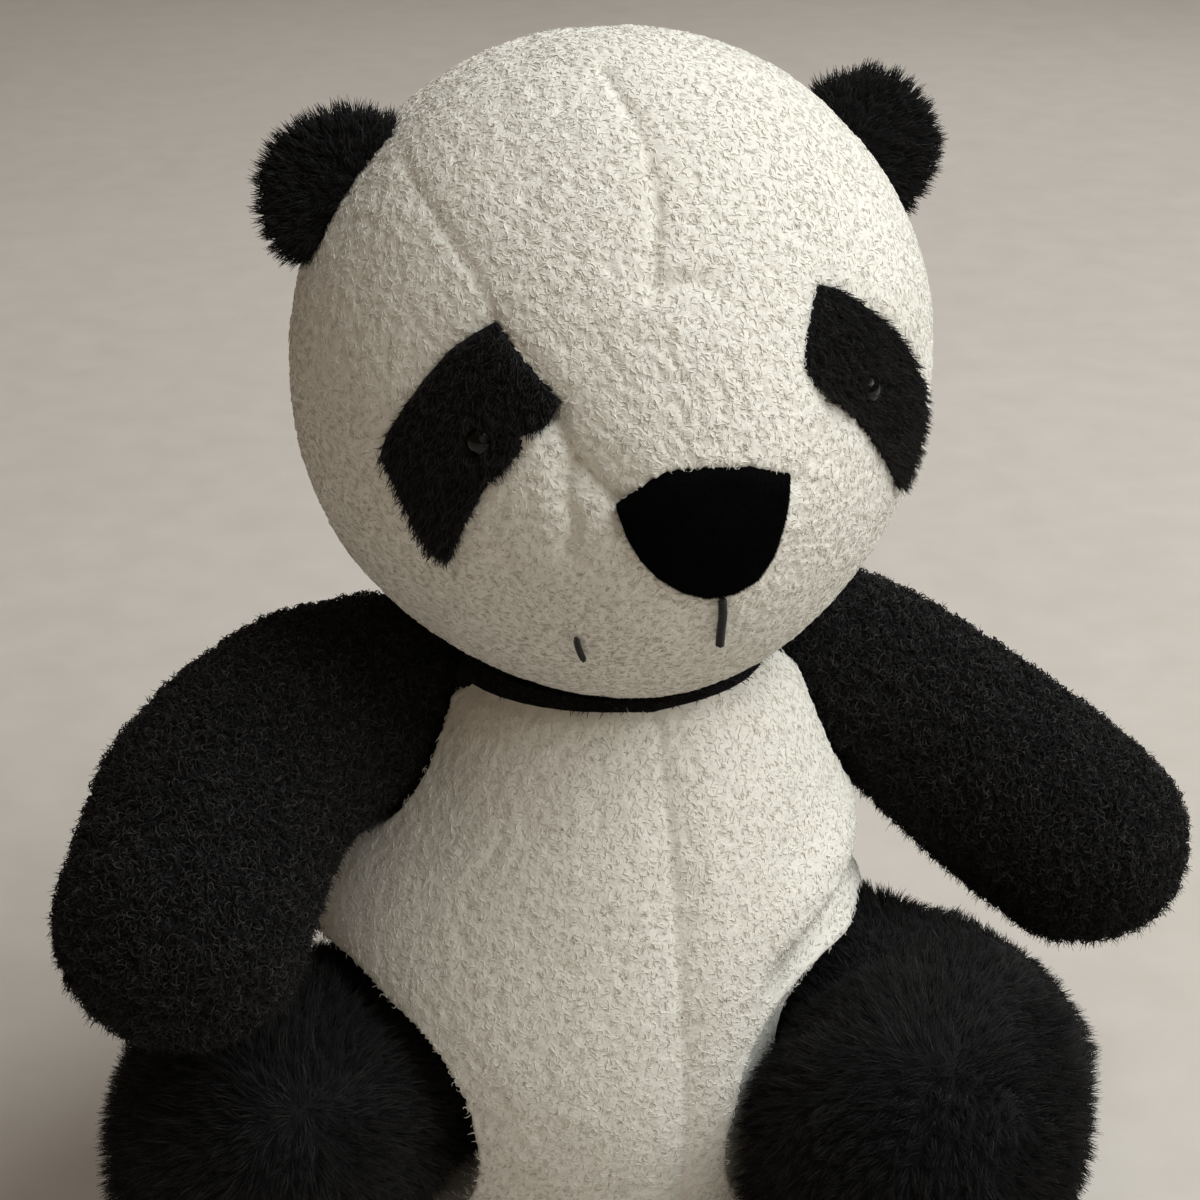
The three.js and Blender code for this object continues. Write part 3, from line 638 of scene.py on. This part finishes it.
def build_nose():
    rows, cols = 40, 220
    top, rim, pole = patch_lattice(NOSE_OUTLINE, rows, cols, 2.2, (-0.5, -11))
    share = np.linspace(0, 1, rows + 1)[1:]
    crown = 0.9 * (1 - share ** 4)
    normals = unit(top)
    top = top + normals * crown[:, None, None]
    flat = top.reshape(-1, 3)
    flat = flat + normals.reshape(-1, 3) * (0.06 * noise(flat, 0.8, 61) + 0.12 * noise(flat, 5, 62))[:, None]
    faces, fan, quads = pad_faces(rows, cols)
    points = np.vstack([flat, rim, pole + unit(pole) * 0.9]) + HEAD_CENTRE
    nose = make_object("nose_velvet", points, [faces, fan], [VELVET])
    rng = np.random.default_rng(300)
    comb = np.tile(np.array([0.0, 0.0, -0.3]), (len(flat), 1))
    line, radii = plush_strands(flat + HEAD_CENTRE, normals.reshape(-1, 3), comb, quads, np.full(len(flat), 9.0),
                                np.full(len(flat), 0.42), rng, clump=0.8, pull=0.1, width=0.05)
    nap = make_pile("nose_nap", line, radii, VELVET_NAP, [0.6, 0.4], rng)
    return nose, nap


def build_eye(name):
    """A polished dome on a stem through the cloth."""
    at = unit(np.array(EYE_AT[name]))
    foot = on_head(at[None])[0]
    side = unit(np.cross(at, [0, 0, 1]))
    up = np.cross(side, at)
    lean = np.linspace(math.pi / 2, 0.04, 14)
    dome = [(EYE_R * math.sin(a), EYE_LIFT + EYE_RISE * math.cos(a)) for a in lean]
    profile = np.array([(0.4, -7.0), (1.2, -7.0), (1.2, EYE_LIFT - 0.1), (EYE_R, EYE_LIFT - 0.1), *dome])
    cols = 40
    turn = 2 * np.pi * np.arange(cols) / cols
    ring = np.cos(turn)[None, :, None] * side + np.sin(turn)[None, :, None] * up
    lattice = foot + profile[:, 1, None, None] * at + profile[:, 0, None, None] * ring
    return make_object(f"eye_{name}_dome", with_poles(lattice) + HEAD_CENTRE, lattice_faces(len(profile), cols),
                       [GLASS_BLACK])


def twisted_thread(name, path, radius, turns_per_mm=0.55):
    """Two strands of thread twisted around each other along a path."""
    path = np.asarray(path, float)
    length = np.linalg.norm(np.diff(path, axis=0), axis=1).sum()
    count = max(int(length * 6), 16)
    path = spaced(smooth_line(path, count * 2), count)
    along = unit(np.gradient(path, axis=0))
    side = unit(np.cross(along, [0.2, 0.9, 0.4]))
    other = np.cross(along, side)
    angle = np.linspace(0, 2 * np.pi * turns_per_mm * length, count)
    sides = 8
    parts, faces, caps, start = [], [], [], 0
    for phase in (0, np.pi):
        middle = path + radius * 0.5 * (np.cos(angle + phase)[:, None] * side + np.sin(angle + phase)[:, None] * other)
        turn = 2 * np.pi * np.arange(sides) / sides
        taper = np.clip(np.minimum(np.arange(count), np.arange(count)[::-1]) / 2.0, 0.35, 1)[:, None, None]
        ring = side[:, None] * np.cos(turn)[:, None] + other[:, None] * np.sin(turn)[:, None]
        parts.append((middle[:, None] + ring * radius * 0.56 * taper).reshape(-1, 3))
        index = np.arange(count * sides).reshape(count, sides) + start
        right = np.roll(index, -1, axis=1)
        faces.append(np.stack([index[:-1], right[:-1], right[1:], index[1:]], axis=-1).reshape(-1, 4))
        caps += [index[0, ::-1], index[-1]]
        start += count * sides
    return make_object(name, np.vstack(parts), [np.vstack(faces), np.array(caps)], [THREAD])


def build_ear(name, side):
    """A half-round pad with a rounded rim, its pile combed away from the head."""
    rows, cols = 90, 150
    outward = np.array([side * math.cos(EAR_ANGLE), 0, math.sin(EAR_ANGLE)])
    tangent = np.array([-side * math.sin(EAR_ANGLE), 0, math.cos(EAR_ANGLE)])
    foot = on_head(outward, 0.0) * np.array([1, 0, 1]) + np.array([0, EAR_Y, 0])
    angle = (np.arange(rows) + 0.5) * np.pi / rows
    turn = 2 * np.pi * np.arange(cols) / cols
    a = np.cos(angle)[:, None] + 0 * turn
    b = np.sin(angle)[:, None] * np.cos(turn)
    c = np.sin(angle)[:, None] * np.sin(turn)
    reach = np.where(b > 0, 1.0, 0.22)
    dish = 1.6 * np.clip(1 - (a ** 2 + (b * reach) ** 2) * 1.3, 0, 1)
    lattice = (foot + tangent * (a * EAR_RADIUS)[..., None] + outward * (b * reach * EAR_RADIUS)[..., None]
               + np.array([0, 1, 0]) * (c * EAR_THICKNESS / 2 + np.where(c < 0, dish, 0))[..., None])
    flat = lattice.reshape(-1, 3)
    normals = lattice_normals(lattice).reshape(-1, 3)
    clump, _ = lumps(flat, 3.2, 71)
    flat = flat + normals * (0.7 * (1 - 2 * clump) + 0.5 * noise(flat, 6, 72))[:, None]
    quads, fans = lattice_faces(rows, cols)
    ear = make_object(f"ear_{name}_skin", with_poles(flat.reshape(rows, cols, 3)) + HEAD_CENTRE, [quads, fans], [PLUSH])
    rng = np.random.default_rng(400 + side)
    away = unit(flat - (foot - outward * 6))
    comb = away * 1.3
    density = np.where((flat - foot) @ outward > -1.5, 6.0, 0.0)
    length = np.full(len(flat), 1.25)
    line, radii = plush_strands(flat + HEAD_CENTRE, normals, comb, quads, density, length, rng,
                                clump=2.4, pull=0.5, width=0.1, wild=0.6)
    pile = make_pile(f"ear_{name}_pile", line, radii, PLUSH_PILE, PLUSH_SHARES, rng)
    return ear, pile


# ---- Limbs ----
def limb_spine(limb, count):
    path = smooth_line([(0, 0, 0), *limb["path"]], 200)
    steps = np.r_[0, np.cumsum(np.linalg.norm(np.diff(path, axis=0), axis=1))]
    path = spaced(path, count)
    knots = np.linspace(0, 1, len(limb["radii"]))
    radii = np.interp(np.linspace(0, 1, count), np.linspace(0, 1, 60),
                      smooth_line([(k, r) for k, r in zip(knots, limb["radii"])], 60)[:, 1])
    return path, radii, steps[-1]


def limb_lattice(limb, rows, cols):
    """The limb's cloth around its root, from the pole at the root to the pole at the tip."""
    path, radii, length = limb_spine(limb, 200)
    start, end = radii[0] * np.pi / 2, radii[-1] * np.pi / 2
    at = (np.arange(rows) + 0.5) / rows * (start + length + end)
    lean = np.where(at < start, (at - start) / radii[0], np.clip((at - start - length) / radii[-1], 0, None))
    t = np.clip((at - start) / length, 0, 1) * (len(path) - 1)
    low = np.minimum(t.astype(int), len(path) - 2)
    part = (t - low)[:, None]
    centre = path[low] * (1 - part) + path[low + 1] * part
    radius = radii[low] * (1 - part[:, 0]) + radii[low + 1] * part[:, 0]
    tangents = unit(np.gradient(path, axis=0))
    tangent = unit(tangents[low] * (1 - part) + tangents[low + 1] * part)
    facing = unit(np.array(limb["facing"], float))
    normal = unit(facing - tangent * (tangent @ facing)[:, None])
    side = np.cross(tangent, normal)
    turn = 2 * np.pi * np.arange(cols) / cols
    ring = np.cos(turn)[None, :, None] * normal[:, None] + np.sin(turn)[None, :, None] * side[:, None]
    return (centre[:, None] + tangent[:, None] * (radius * np.sin(lean))[:, None, None]
            + ring * (radius * np.cos(lean))[:, None, None])


def limb_depth(points, limb, moves=(np.eye(4),)):
    """How far inside the limb's cloth each point in the row frame lies, in any of these poses."""
    path, radii, _ = limb_spine(limb, 24)
    best = np.full(len(points), -1e9)
    for move in moves:
        centres = (np.c_[path + limb["root"], np.ones(len(path))] @ move.T)[:, :3]
        for centre, radius in zip(centres, radii):
            best = np.maximum(best, radius - np.linalg.norm(points - centre, axis=1))
    return best


def limb_seam(points, limb):
    """Distance to the plane of the limb's seams, around its root."""
    chord = unit(np.array(limb["path"][-1], float))
    facing = unit(np.array(limb["facing"], float))
    normal = unit(facing - chord * (facing @ chord))
    return np.abs((points - np.array(limb["path"][0]) / 2) @ normal)


def build_limb(name, limb, seed):
    leg = name.startswith("leg")
    rows, cols = (150, 170) if leg else (150, 140)
    root = np.array(limb["root"], float)
    lattice = limb_lattice(limb, rows, cols)
    flat = lattice.reshape(-1, 3)
    normals = lattice_normals(lattice).reshape(-1, 3)

    def held(points):
        return np.clip(1.3 * np.exp(-(limb_seam(points, limb) / 3.0) ** 2), 0, 1)

    puff = upsampled(settled(lambda r, c: limb_lattice(limb, r, c), held, 1.5, 1.6), rows, cols).ravel()
    seam = np.exp(-(limb_seam(flat, limb) / 1.6) ** 2)
    wide = np.exp(-(limb_seam(flat, limb) / 6.0) ** 2)
    clump, _ = lumps(flat + root, 2.9, seed)
    bumps = (0.8 if leg else 1.3) * (1 - 2 * clump) + 0.5 * noise(flat, 6, seed + 5) + 0.9 * noise(flat, 18, seed + 6)
    narrow, broad = (1.0, 1.2) if leg else (0.3, 0.15)
    height = puff - narrow * seam - broad * wide + bumps * (0.7 - 0.2 * seam) - 0.4
    skin = flat + normals * height[:, None]
    quads, fans = lattice_faces(rows, cols)
    points = with_poles(skin.reshape(rows, cols, 3)) + root
    points[:, 2] = np.maximum(points[:, 2], 1.2)
    made = make_object(f"{name}_skin", points, [quads, fans], [PLUSH])
    rng = np.random.default_rng(500 + seed)
    start = np.linalg.norm(flat, axis=1) < limb["radii"][0] * 0.98
    buried = ((skin + root)[:, 0] * np.sign(root[0]) < abs(root[0]) - 8) & start
    near_floor = np.clip(((skin + root)[:, 2] - 0.6) / 2.5, 0.15, 1)
    if leg:
        whorl = np.array(limb["path"][-1]) + np.array(WHORLS[name])
        swirl = np.stack([noise(flat, 13, seed + k) for k in (7, 8, 9)], axis=-1)
        comb = unit(unit(flat - whorl) + 0.9 * swirl) * 1.15
        density = np.where(buried, 0.0, 2.3) * (1 - 0.3 * seam)
        length = (2.5 - 0.6 * seam) * near_floor
        line, radius = plush_strands(skin + root, normals, comb, quads, density, length, rng,
                                     clump=3.6, pull=0.55, width=0.09, wild=0.35)
    else:
        comb = np.tile(np.array([0, 0, -0.3]), (len(flat), 1))
        density = np.where(buried, 0.0, 1.3)
        line, radius = plush_strands(skin + root, normals, comb, quads, density, np.full(len(flat), 2.1), rng,
                                     clump=2.9, pull=0.75, width=0.1, wild=0.6)
        curl, curl_radius = loose_curls(skin + root, normals, quads, density, rng, (1.8, 3.4), 1.9, 0.14)
        # The curls take the lighter mix of shades, a painted highlight.
        curls = make_pile(f"{name}_curls", curl, curl_radius, PLUSH_PILE, PAINTED_HIGHLIGHT_SHARES, rng)
    line[..., 2] = np.maximum(line[..., 2], 0.4)
    pile = make_pile(f"{name}_pile", line, radius, PLUSH_PILE, PLUSH_SHARES, rng)
    return [made, pile] if leg else [made, pile, curls]


# ---- Torso ----
def torso_lattice(rows, cols):
    """The torso's cloth in the row frame, from the pole in the seat to the pole under the head."""
    profile = smooth_line(TORSO_PROFILE, 400)
    profile[:, 0] = np.maximum(profile[:, 0], 0)
    profile[:, 1] = np.clip(profile[:, 1], 0, 134)
    steps = np.r_[0, np.cumsum(np.linalg.norm(np.diff(profile, axis=0), axis=1))]
    at = (np.arange(rows) + 0.5) / rows * steps[-1]
    radius = np.interp(at, steps, profile[:, 0])
    height = np.interp(at, steps, profile[:, 1])
    turn = 2 * np.pi * np.arange(cols) / cols
    lean = np.exp(-((height - BULGE_Z) / BULGE_SPREAD) ** 2)[:, None] * np.clip(-np.sin(turn), 0, 1) ** 1.5
    x = radius[:, None] * np.sin(turn) - BULGE * lean
    y = TORSO_Y - TORSO_DEPTH * radius[:, None] * np.cos(turn)
    return np.stack([x, y, np.broadcast_to(height[:, None], x.shape)], axis=-1)


def turned_about(pivot, axis, degrees):
    pivot = Vector(pivot)
    turn = Matrix.Rotation(math.radians(degrees), 4, Vector(axis).normalized())
    return np.array(Matrix.Translation(pivot) @ turn @ Matrix.Translation(-pivot))


def end_moves(name):
    """The poses at rest and at the ends of each joint whose name starts with this one, from the record."""
    joints = [j for j in frame["record"]["behaviour"]["joints"] if j["name"].startswith(name)]
    moves = [np.eye(4)]
    for joint in joints:
        for degrees in joint["range_deg"]:
            moves.append(turned_about([v / MM for v in joint["pos_m"]], joint["axis"], degrees))
    return moves


def head_depth(points, moves=(np.eye(4),)):
    """How far inside the head's cloth each point in the row frame lies, in any of these poses."""
    best = np.full(len(points), -1e9)
    for move in moves:
        around = (np.c_[points, np.ones(len(points))] @ np.linalg.inv(move).T)[:, :3] - HEAD_CENTRE
        best = np.maximum(best, head_radius(unit(around)) - np.linalg.norm(around, axis=1))
    return best


BELLY_SEAM = [(0, z) for z in (12, 40, 70, 100, 121)]
POCKET = 2.8


def above_yoke_seam(points):
    return points[:, 2] - YOKE_FRONT_Z + YOKE_SLOPE * np.clip(points[:, 1] - YOKE_FRONT_Y, 0, None)


def piece_of(points, faces, kept):
    """The points that the kept faces use, and those faces renumbered."""
    faces = [f[k] for f, k in zip(faces, kept)]
    used = np.unique(np.concatenate([f.ravel() for f in faces]))
    renumbered = np.zeros(len(points), int)
    renumbered[used] = np.arange(len(used))
    return points[used], [renumbered[f] for f in faces]


def build_torso():
    rows, cols = 230, 420
    lattice = torso_lattice(rows, cols)
    flat = lattice.reshape(-1, 3)
    normals = lattice_normals(lattice).reshape(-1, 3)

    def held(points):
        seams = np.minimum(np.abs(points[:, 0]), np.abs(above_yoke_seam(points)))
        seams = np.minimum(seams, np.abs(points[:, 1] - 6))
        return np.clip(1.2 * np.exp(-(seams / 2.5) ** 2) + (points[:, 2] < 6), 0, 1)

    puff = upsampled(settled(torso_lattice, held, 1.5, 2.0), rows, cols).ravel()
    front = flat[:, 1] < TORSO_Y
    seam = np.exp(-(flat[:, 0] / 1.2) ** 2)
    side = np.exp(-((flat[:, 1] - 6) / 1.3) ** 2)
    above = above_yoke_seam(flat)
    yoke = np.exp(-(above / 1.6) ** 2)
    hem = np.exp(-((flat[:, 2] - 9) / 1.4) ** 2)
    level = flat[:, 2] > 14
    parted = np.maximum(np.maximum(seam, side * level), np.maximum(yoke, hem))
    folds = (0.9 * np.exp(-((flat[:, 0] - 30 - 0.25 * (flat[:, 2] - 95)) / 6) ** 2)
             * np.exp(-((flat[:, 2] - 98) / 16) ** 2))
    above_tuck = flat[:, 2] - np.interp(flat[:, 0], [20, 38, 57], [70, 76, 83])
    tuck = np.exp(-(above_tuck / np.where(above_tuck > 0, 3.2, 10.0)) ** 2) * np.clip((12 - flat[:, 1]) / 12, 0, 1)
    folds += 9.0 * np.clip((flat[:, 0] - 17) / 20, 0, 1) * tuck
    folds -= 2.2 * np.clip((flat[:, 0] - 18) / 20, 0, 1) * np.exp(-((above_tuck - 10) / 8) ** 2) * (flat[:, 1] < 12)
    bumps = fleece_bumps(flat)
    height = (puff - 0.65 * seam - 1.0 * np.exp(-(flat[:, 0] / 6) ** 2) * front - 0.8 * side * level - 1.1 * yoke
              - 0.8 * hem - folds + 0.42 * bumps * (1 - 0.5 * parted) + 0.8 * noise(flat, 26, 81) - 0.3)
    height = np.where(flat[:, 2] < 0.8, np.maximum(height, -0.2) * 0, height)
    skin = flat + normals * height[:, None]
    skin[:, 2] = np.maximum(skin[:, 2], 0.0)
    inward = unit((np.array([0, TORSO_Y, 0]) - skin) * np.array([1, 1, 0]))
    for _ in range(14):
        deep = np.full(len(skin), -1e9)
        for name, limb in LIMBS.items():
            deep = np.maximum(deep, limb_depth(skin, limb, LIMB_MOVES[name]))
        skin = skin + inward * np.clip(deep + POCKET, 0, 4)[:, None]
    over = np.clip(head_depth(skin, TILT_MOVES) + 1.9, 0, 30)
    skin[:, 2] -= over * (skin[:, 2] > 90)
    rng = np.random.default_rng(700)
    quads, fans = lattice_faces(rows, cols)
    points = with_poles(skin.reshape(rows, cols, 3))
    side_of = np.r_[above, -1e3, 1e3]
    black = [side_of[f].mean(axis=1) > 0 for f in (quads, fans)]
    body = make_object("torso_skin", *piece_of(points, (quads, fans), [~b for b in black]), [FLEECE])
    band = make_object("yoke_skin", *piece_of(points, (quads, fans), black), [PLUSH])

    clear, swept = (np.full(len(skin), 1e9) for _ in range(2))
    for name, limb in LIMBS.items():
        clear = np.minimum(clear, -limb_depth(skin, limb))
        swept = np.minimum(swept, -limb_depth(skin, limb, LIMB_MOVES[name]))
    clear = np.minimum(clear, -head_depth(skin))
    open_air = np.clip((clear - 2) / 2.0, 0, 1) * np.clip((swept - POCKET) / 1.5, 0.25, 1)
    density = np.where(flat[:, 1] > 0, 0.6, 1.5) * (1 - 0.4 * parted) * open_air * np.clip(0.9 + 0.6 * bumps, 0.3, 1.5)
    density = np.where((skin[:, 2] < 1.5) | (above > -0.5), 0, density)
    line, radii = loose_curls(skin, normals, quads[~black[0]], density, rng)
    line[..., 2] = np.maximum(line[..., 2], 0.2)
    curls = make_pile("torso_fleece_curls", line, radii, FLEECE_CURLS, FLEECE_SHARES, rng)
    density = np.where(above > 0, 1.8, 0.0) * np.clip((clear + 0.5) / 2.0, 0, 1)
    comb = np.tile(np.array([0.0, 0.0, -0.35]), (len(flat), 1))
    line, radii = plush_strands(skin, normals, comb, quads[black[0]], density, np.full(len(flat), 2.2), rng,
                                width=0.12, wild=0.5)
    pile = make_pile("yoke_pile", line, radii, PLUSH_PILE, PLUSH_SHARES, rng)
    return body, curls, band, pile


def build_neck():
    """The plush neck between the torso and the head."""
    rows, cols = 60, 120
    angle = (np.arange(rows) + 0.5) * np.pi / rows
    turn = 2 * np.pi * np.arange(cols) / cols
    direction = np.stack([np.sin(angle)[:, None] * np.cos(turn), np.sin(angle)[:, None] * np.sin(turn),
                          np.broadcast_to(-np.cos(angle)[:, None], (rows, cols))], axis=-1)
    lattice = NECK_PIVOT + direction * 19.4
    normals = lattice_normals(lattice)
    ribs = 0.35 * np.sin(turn * 24) + 0.4 * noise(lattice.reshape(-1, 3), 4, 91).reshape(rows, cols)
    lattice = lattice + normals * (ribs - 0.3)[..., None]
    return make_object("neck_skin", with_poles(lattice), lattice_faces(rows, cols), [PLUSH])


def build_ring(name, centre, axis, radius, thread):
    """A ring of twisted closing thread."""
    axis = unit(np.array(axis, float))
    side = unit(np.cross(axis, [0.3, 0.5, 0.8]))
    other = np.cross(axis, side)
    turn = np.linspace(0, 2 * np.pi, 97)[:-1]
    path = np.array(centre) + radius * (np.cos(turn)[:, None] * side + np.sin(turn)[:, None] * other)
    return twisted_thread(name, path, thread)


def build_pellets():
    rows, cols = 40, 60
    angle = (np.arange(rows) + 0.5) * np.pi / rows
    turn = 2 * np.pi * np.arange(cols) / cols
    direction = np.stack([np.sin(angle)[:, None] * np.cos(turn), np.sin(angle)[:, None] * np.sin(turn),
                          np.broadcast_to(-np.cos(angle)[:, None], (rows, cols))], axis=-1)
    lattice = np.array([0, 3, 14]) + direction * np.array([15, 24, 11.5])
    near, _ = lumps(lattice.reshape(-1, 3), 4.0, 95)
    lattice = lattice + direction * (0.5 * (1 - 2 * near)).reshape(rows, cols)[..., None] - direction * 0.6
    return make_object("pellet_pouch", with_poles(lattice), lattice_faces(rows, cols), [CALICO])


LIMB_MOVES = {name: end_moves(name + "_") for name in LIMBS}
TILT_MOVES = end_moves("head_tilt")


# ---- Assembly ----
RING_BEHIND = 0.84      # a closing seam lies this far behind its limb's root, as a share of its distance


def belongs(piece, body, slot, *nodes, fill=None):
    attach(piece, body)
    if nodes:
        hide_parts(*nodes)


head_skin, head_curls = build_head()
belongs(head_skin, "head", "fleece", "head_gusset", "cheek_left", "cheek_right", "head_back_left",
        "head_back_right", "head_filling", fill=0.95)
belongs(head_curls, "head", "fleece")
for side_name, outline, middle in (("right", PATCH_RIGHT, (-42, 1)), ("left", PATCH_LEFT, (39, 4))):
    pad, pile = build_patch(side_name, outline, middle)
    belongs(pad, "head", "plush", f"eye_patch_{side_name}")
    belongs(pile, "head", "plush")
nose_pad, nose_nap = build_nose()
belongs(nose_pad, "head", "velvet", "nose")
belongs(nose_nap, "head", "velvet")
mouth = face_point(np.array([1.8, 2.6, 3.1, 3.9]), np.array([-24.6, -29, -33, -37.2]), np.full(4, 2.1)) + HEAD_CENTRE
belongs(twisted_thread("mouth_thread", mouth, 0.85), "head", "thread", "mouth_stitch")
corner = face_point(np.array([-21.9, -20.9, -19.4]), np.array([-35.0, -38, -41.4]), np.full(3, 1.9)) + HEAD_CENTRE
belongs(twisted_thread("mouth_corner_thread", corner, 0.65), "head", "thread", "mouth_corner_stitch")
for side_name, sign in (("left", 1), ("right", -1)):
    ear, pile = build_ear(side_name, sign)
    belongs(ear, f"ear_{side_name}", "plush", f"ear_{side_name}_front", f"ear_{side_name}_back", fill=0.4)
    belongs(pile, f"ear_{side_name}", "plush")
    belongs(build_eye(side_name), "head", "bead", f"eye_{side_name}")
    for material_slot in frame["nodes"][f"eye_washer_{side_name}"].material_slots:
        material_slot.material = WASHER

body_skin, body_curls, yoke_skin, yoke_pile = build_torso()
belongs(body_skin, "torso", "fleece", "seat_panel", "belly_left", "belly_right", "back_left", "back_right",
        "torso_filling", fill=0.85)
belongs(body_curls, "torso", "fleece")
belongs(yoke_skin, "torso", "plush", "yoke_front", "yoke_back", fill=0.85)
belongs(yoke_pile, "torso", "plush")
belongs(build_pellets(), "torso", "calico", "pellet_bag", fill=0.7)
belongs(build_neck(), "neck_filling", "plush", "neck_filling", fill=0.9)
neck_ring = build_ring("neck_seam_thread", NECK_PIVOT - [0, 0, 6], (0, 0, 1), 21.0, 0.9)
belongs(neck_ring, "neck_seam", "thread", "neck_seam")

for order, (limb_name, limb) in enumerate(LIMBS.items()):
    skin, *piles = build_limb(limb_name, limb, 110 + 20 * order)
    arm = limb_name.startswith("arm")
    panels = ("front", "back") if arm else ("upper", "lower")
    belongs(skin, limb_name, "plush", *(f"{limb_name}_{p}" for p in (*panels, "filling")), fill=0.85)
    for pile in piles:
        belongs(pile, limb_name, "plush")
    joint = limb_name.replace("arm", "shoulder_seam").replace("leg", "hip_seam")
    start = unit(np.array(limb["path"][0], float))
    reach = limb["radii"][0] - 0.9
    ring = build_ring(f"{joint}_thread", np.array(limb["root"]) - start * RING_BEHIND * reach, start,
                      reach * math.sqrt(1 - RING_BEHIND ** 2), 0.7)
    belongs(ring, joint, "thread", joint)


# ---- Floor, light and camera ----
def build_floor():
    bpy.ops.mesh.primitive_grid_add(x_subdivisions=8, y_subdivisions=8, size=6, location=(0, 0, 0))
    floor = bpy.context.object
    floor.name = "floor"
    material = cloth_material("floor_paper", (0.60, 0.56, 0.51), (0.66, 0.62, 0.57), 0.9, 0.4, 0.02, 0.0002)
    floor.data.materials.append(material)


def add_light(name, place, target, size, power, colour):
    lamp = bpy.data.lights.new(name, "AREA")
    lamp.shape = "DISK"
    lamp.size = size
    lamp.energy = power
    lamp.color = colour
    made = bpy.data.objects.new(name, lamp)
    made.location = place
    made.rotation_euler = (Vector(target) - Vector(place)).to_track_quat("-Z", "Y").to_euler()
    bpy.context.scene.collection.objects.link(made)


def build_camera():
    """The view from 16.5 degrees to the toy's right and 24 degrees above it."""
    back = Vector((-0.2594, -0.8759, 0.4067))
    camera = bpy.data.cameras.new("camera")
    camera.sensor_fit = "HORIZONTAL"
    camera.angle = math.radians(24)
    camera.clip_start = 0.01
    made = bpy.data.objects.new("camera", camera)
    made.location = Vector((-154.7, -520.0, 376.9)) * MM
    made.rotation_euler = back.to_track_quat("Z", "Y").to_euler()
    bpy.context.scene.collection.objects.link(made)
    bpy.context.scene.camera = made


build_floor()
world = bpy.data.worlds.new("world")
bpy.context.scene.world = world
world.use_nodes = True
sky = world.node_tree.nodes["Background"]
sky.inputs["Color"].default_value = (1.0, 0.72, 0.47, 1)
sky.inputs["Strength"].default_value = 0.11
add_light("key", (0.65, -0.45, 1.15), (0, 0, 0.14), 1.4, 19.5, (0.97, 1.0, 0.985))
add_light("fill", (-0.5, -1.3, 0.7), (0, 0, 0.12), 1.2, 1.2, (1.0, 0.85, 0.68))
add_light("rim", (0.6, 0.9, 0.9), (0, 0, 0.15), 0.8, 4, (0.95, 0.97, 1.0))
bpy.context.scene.view_settings.view_transform = "Standard"
build_camera()
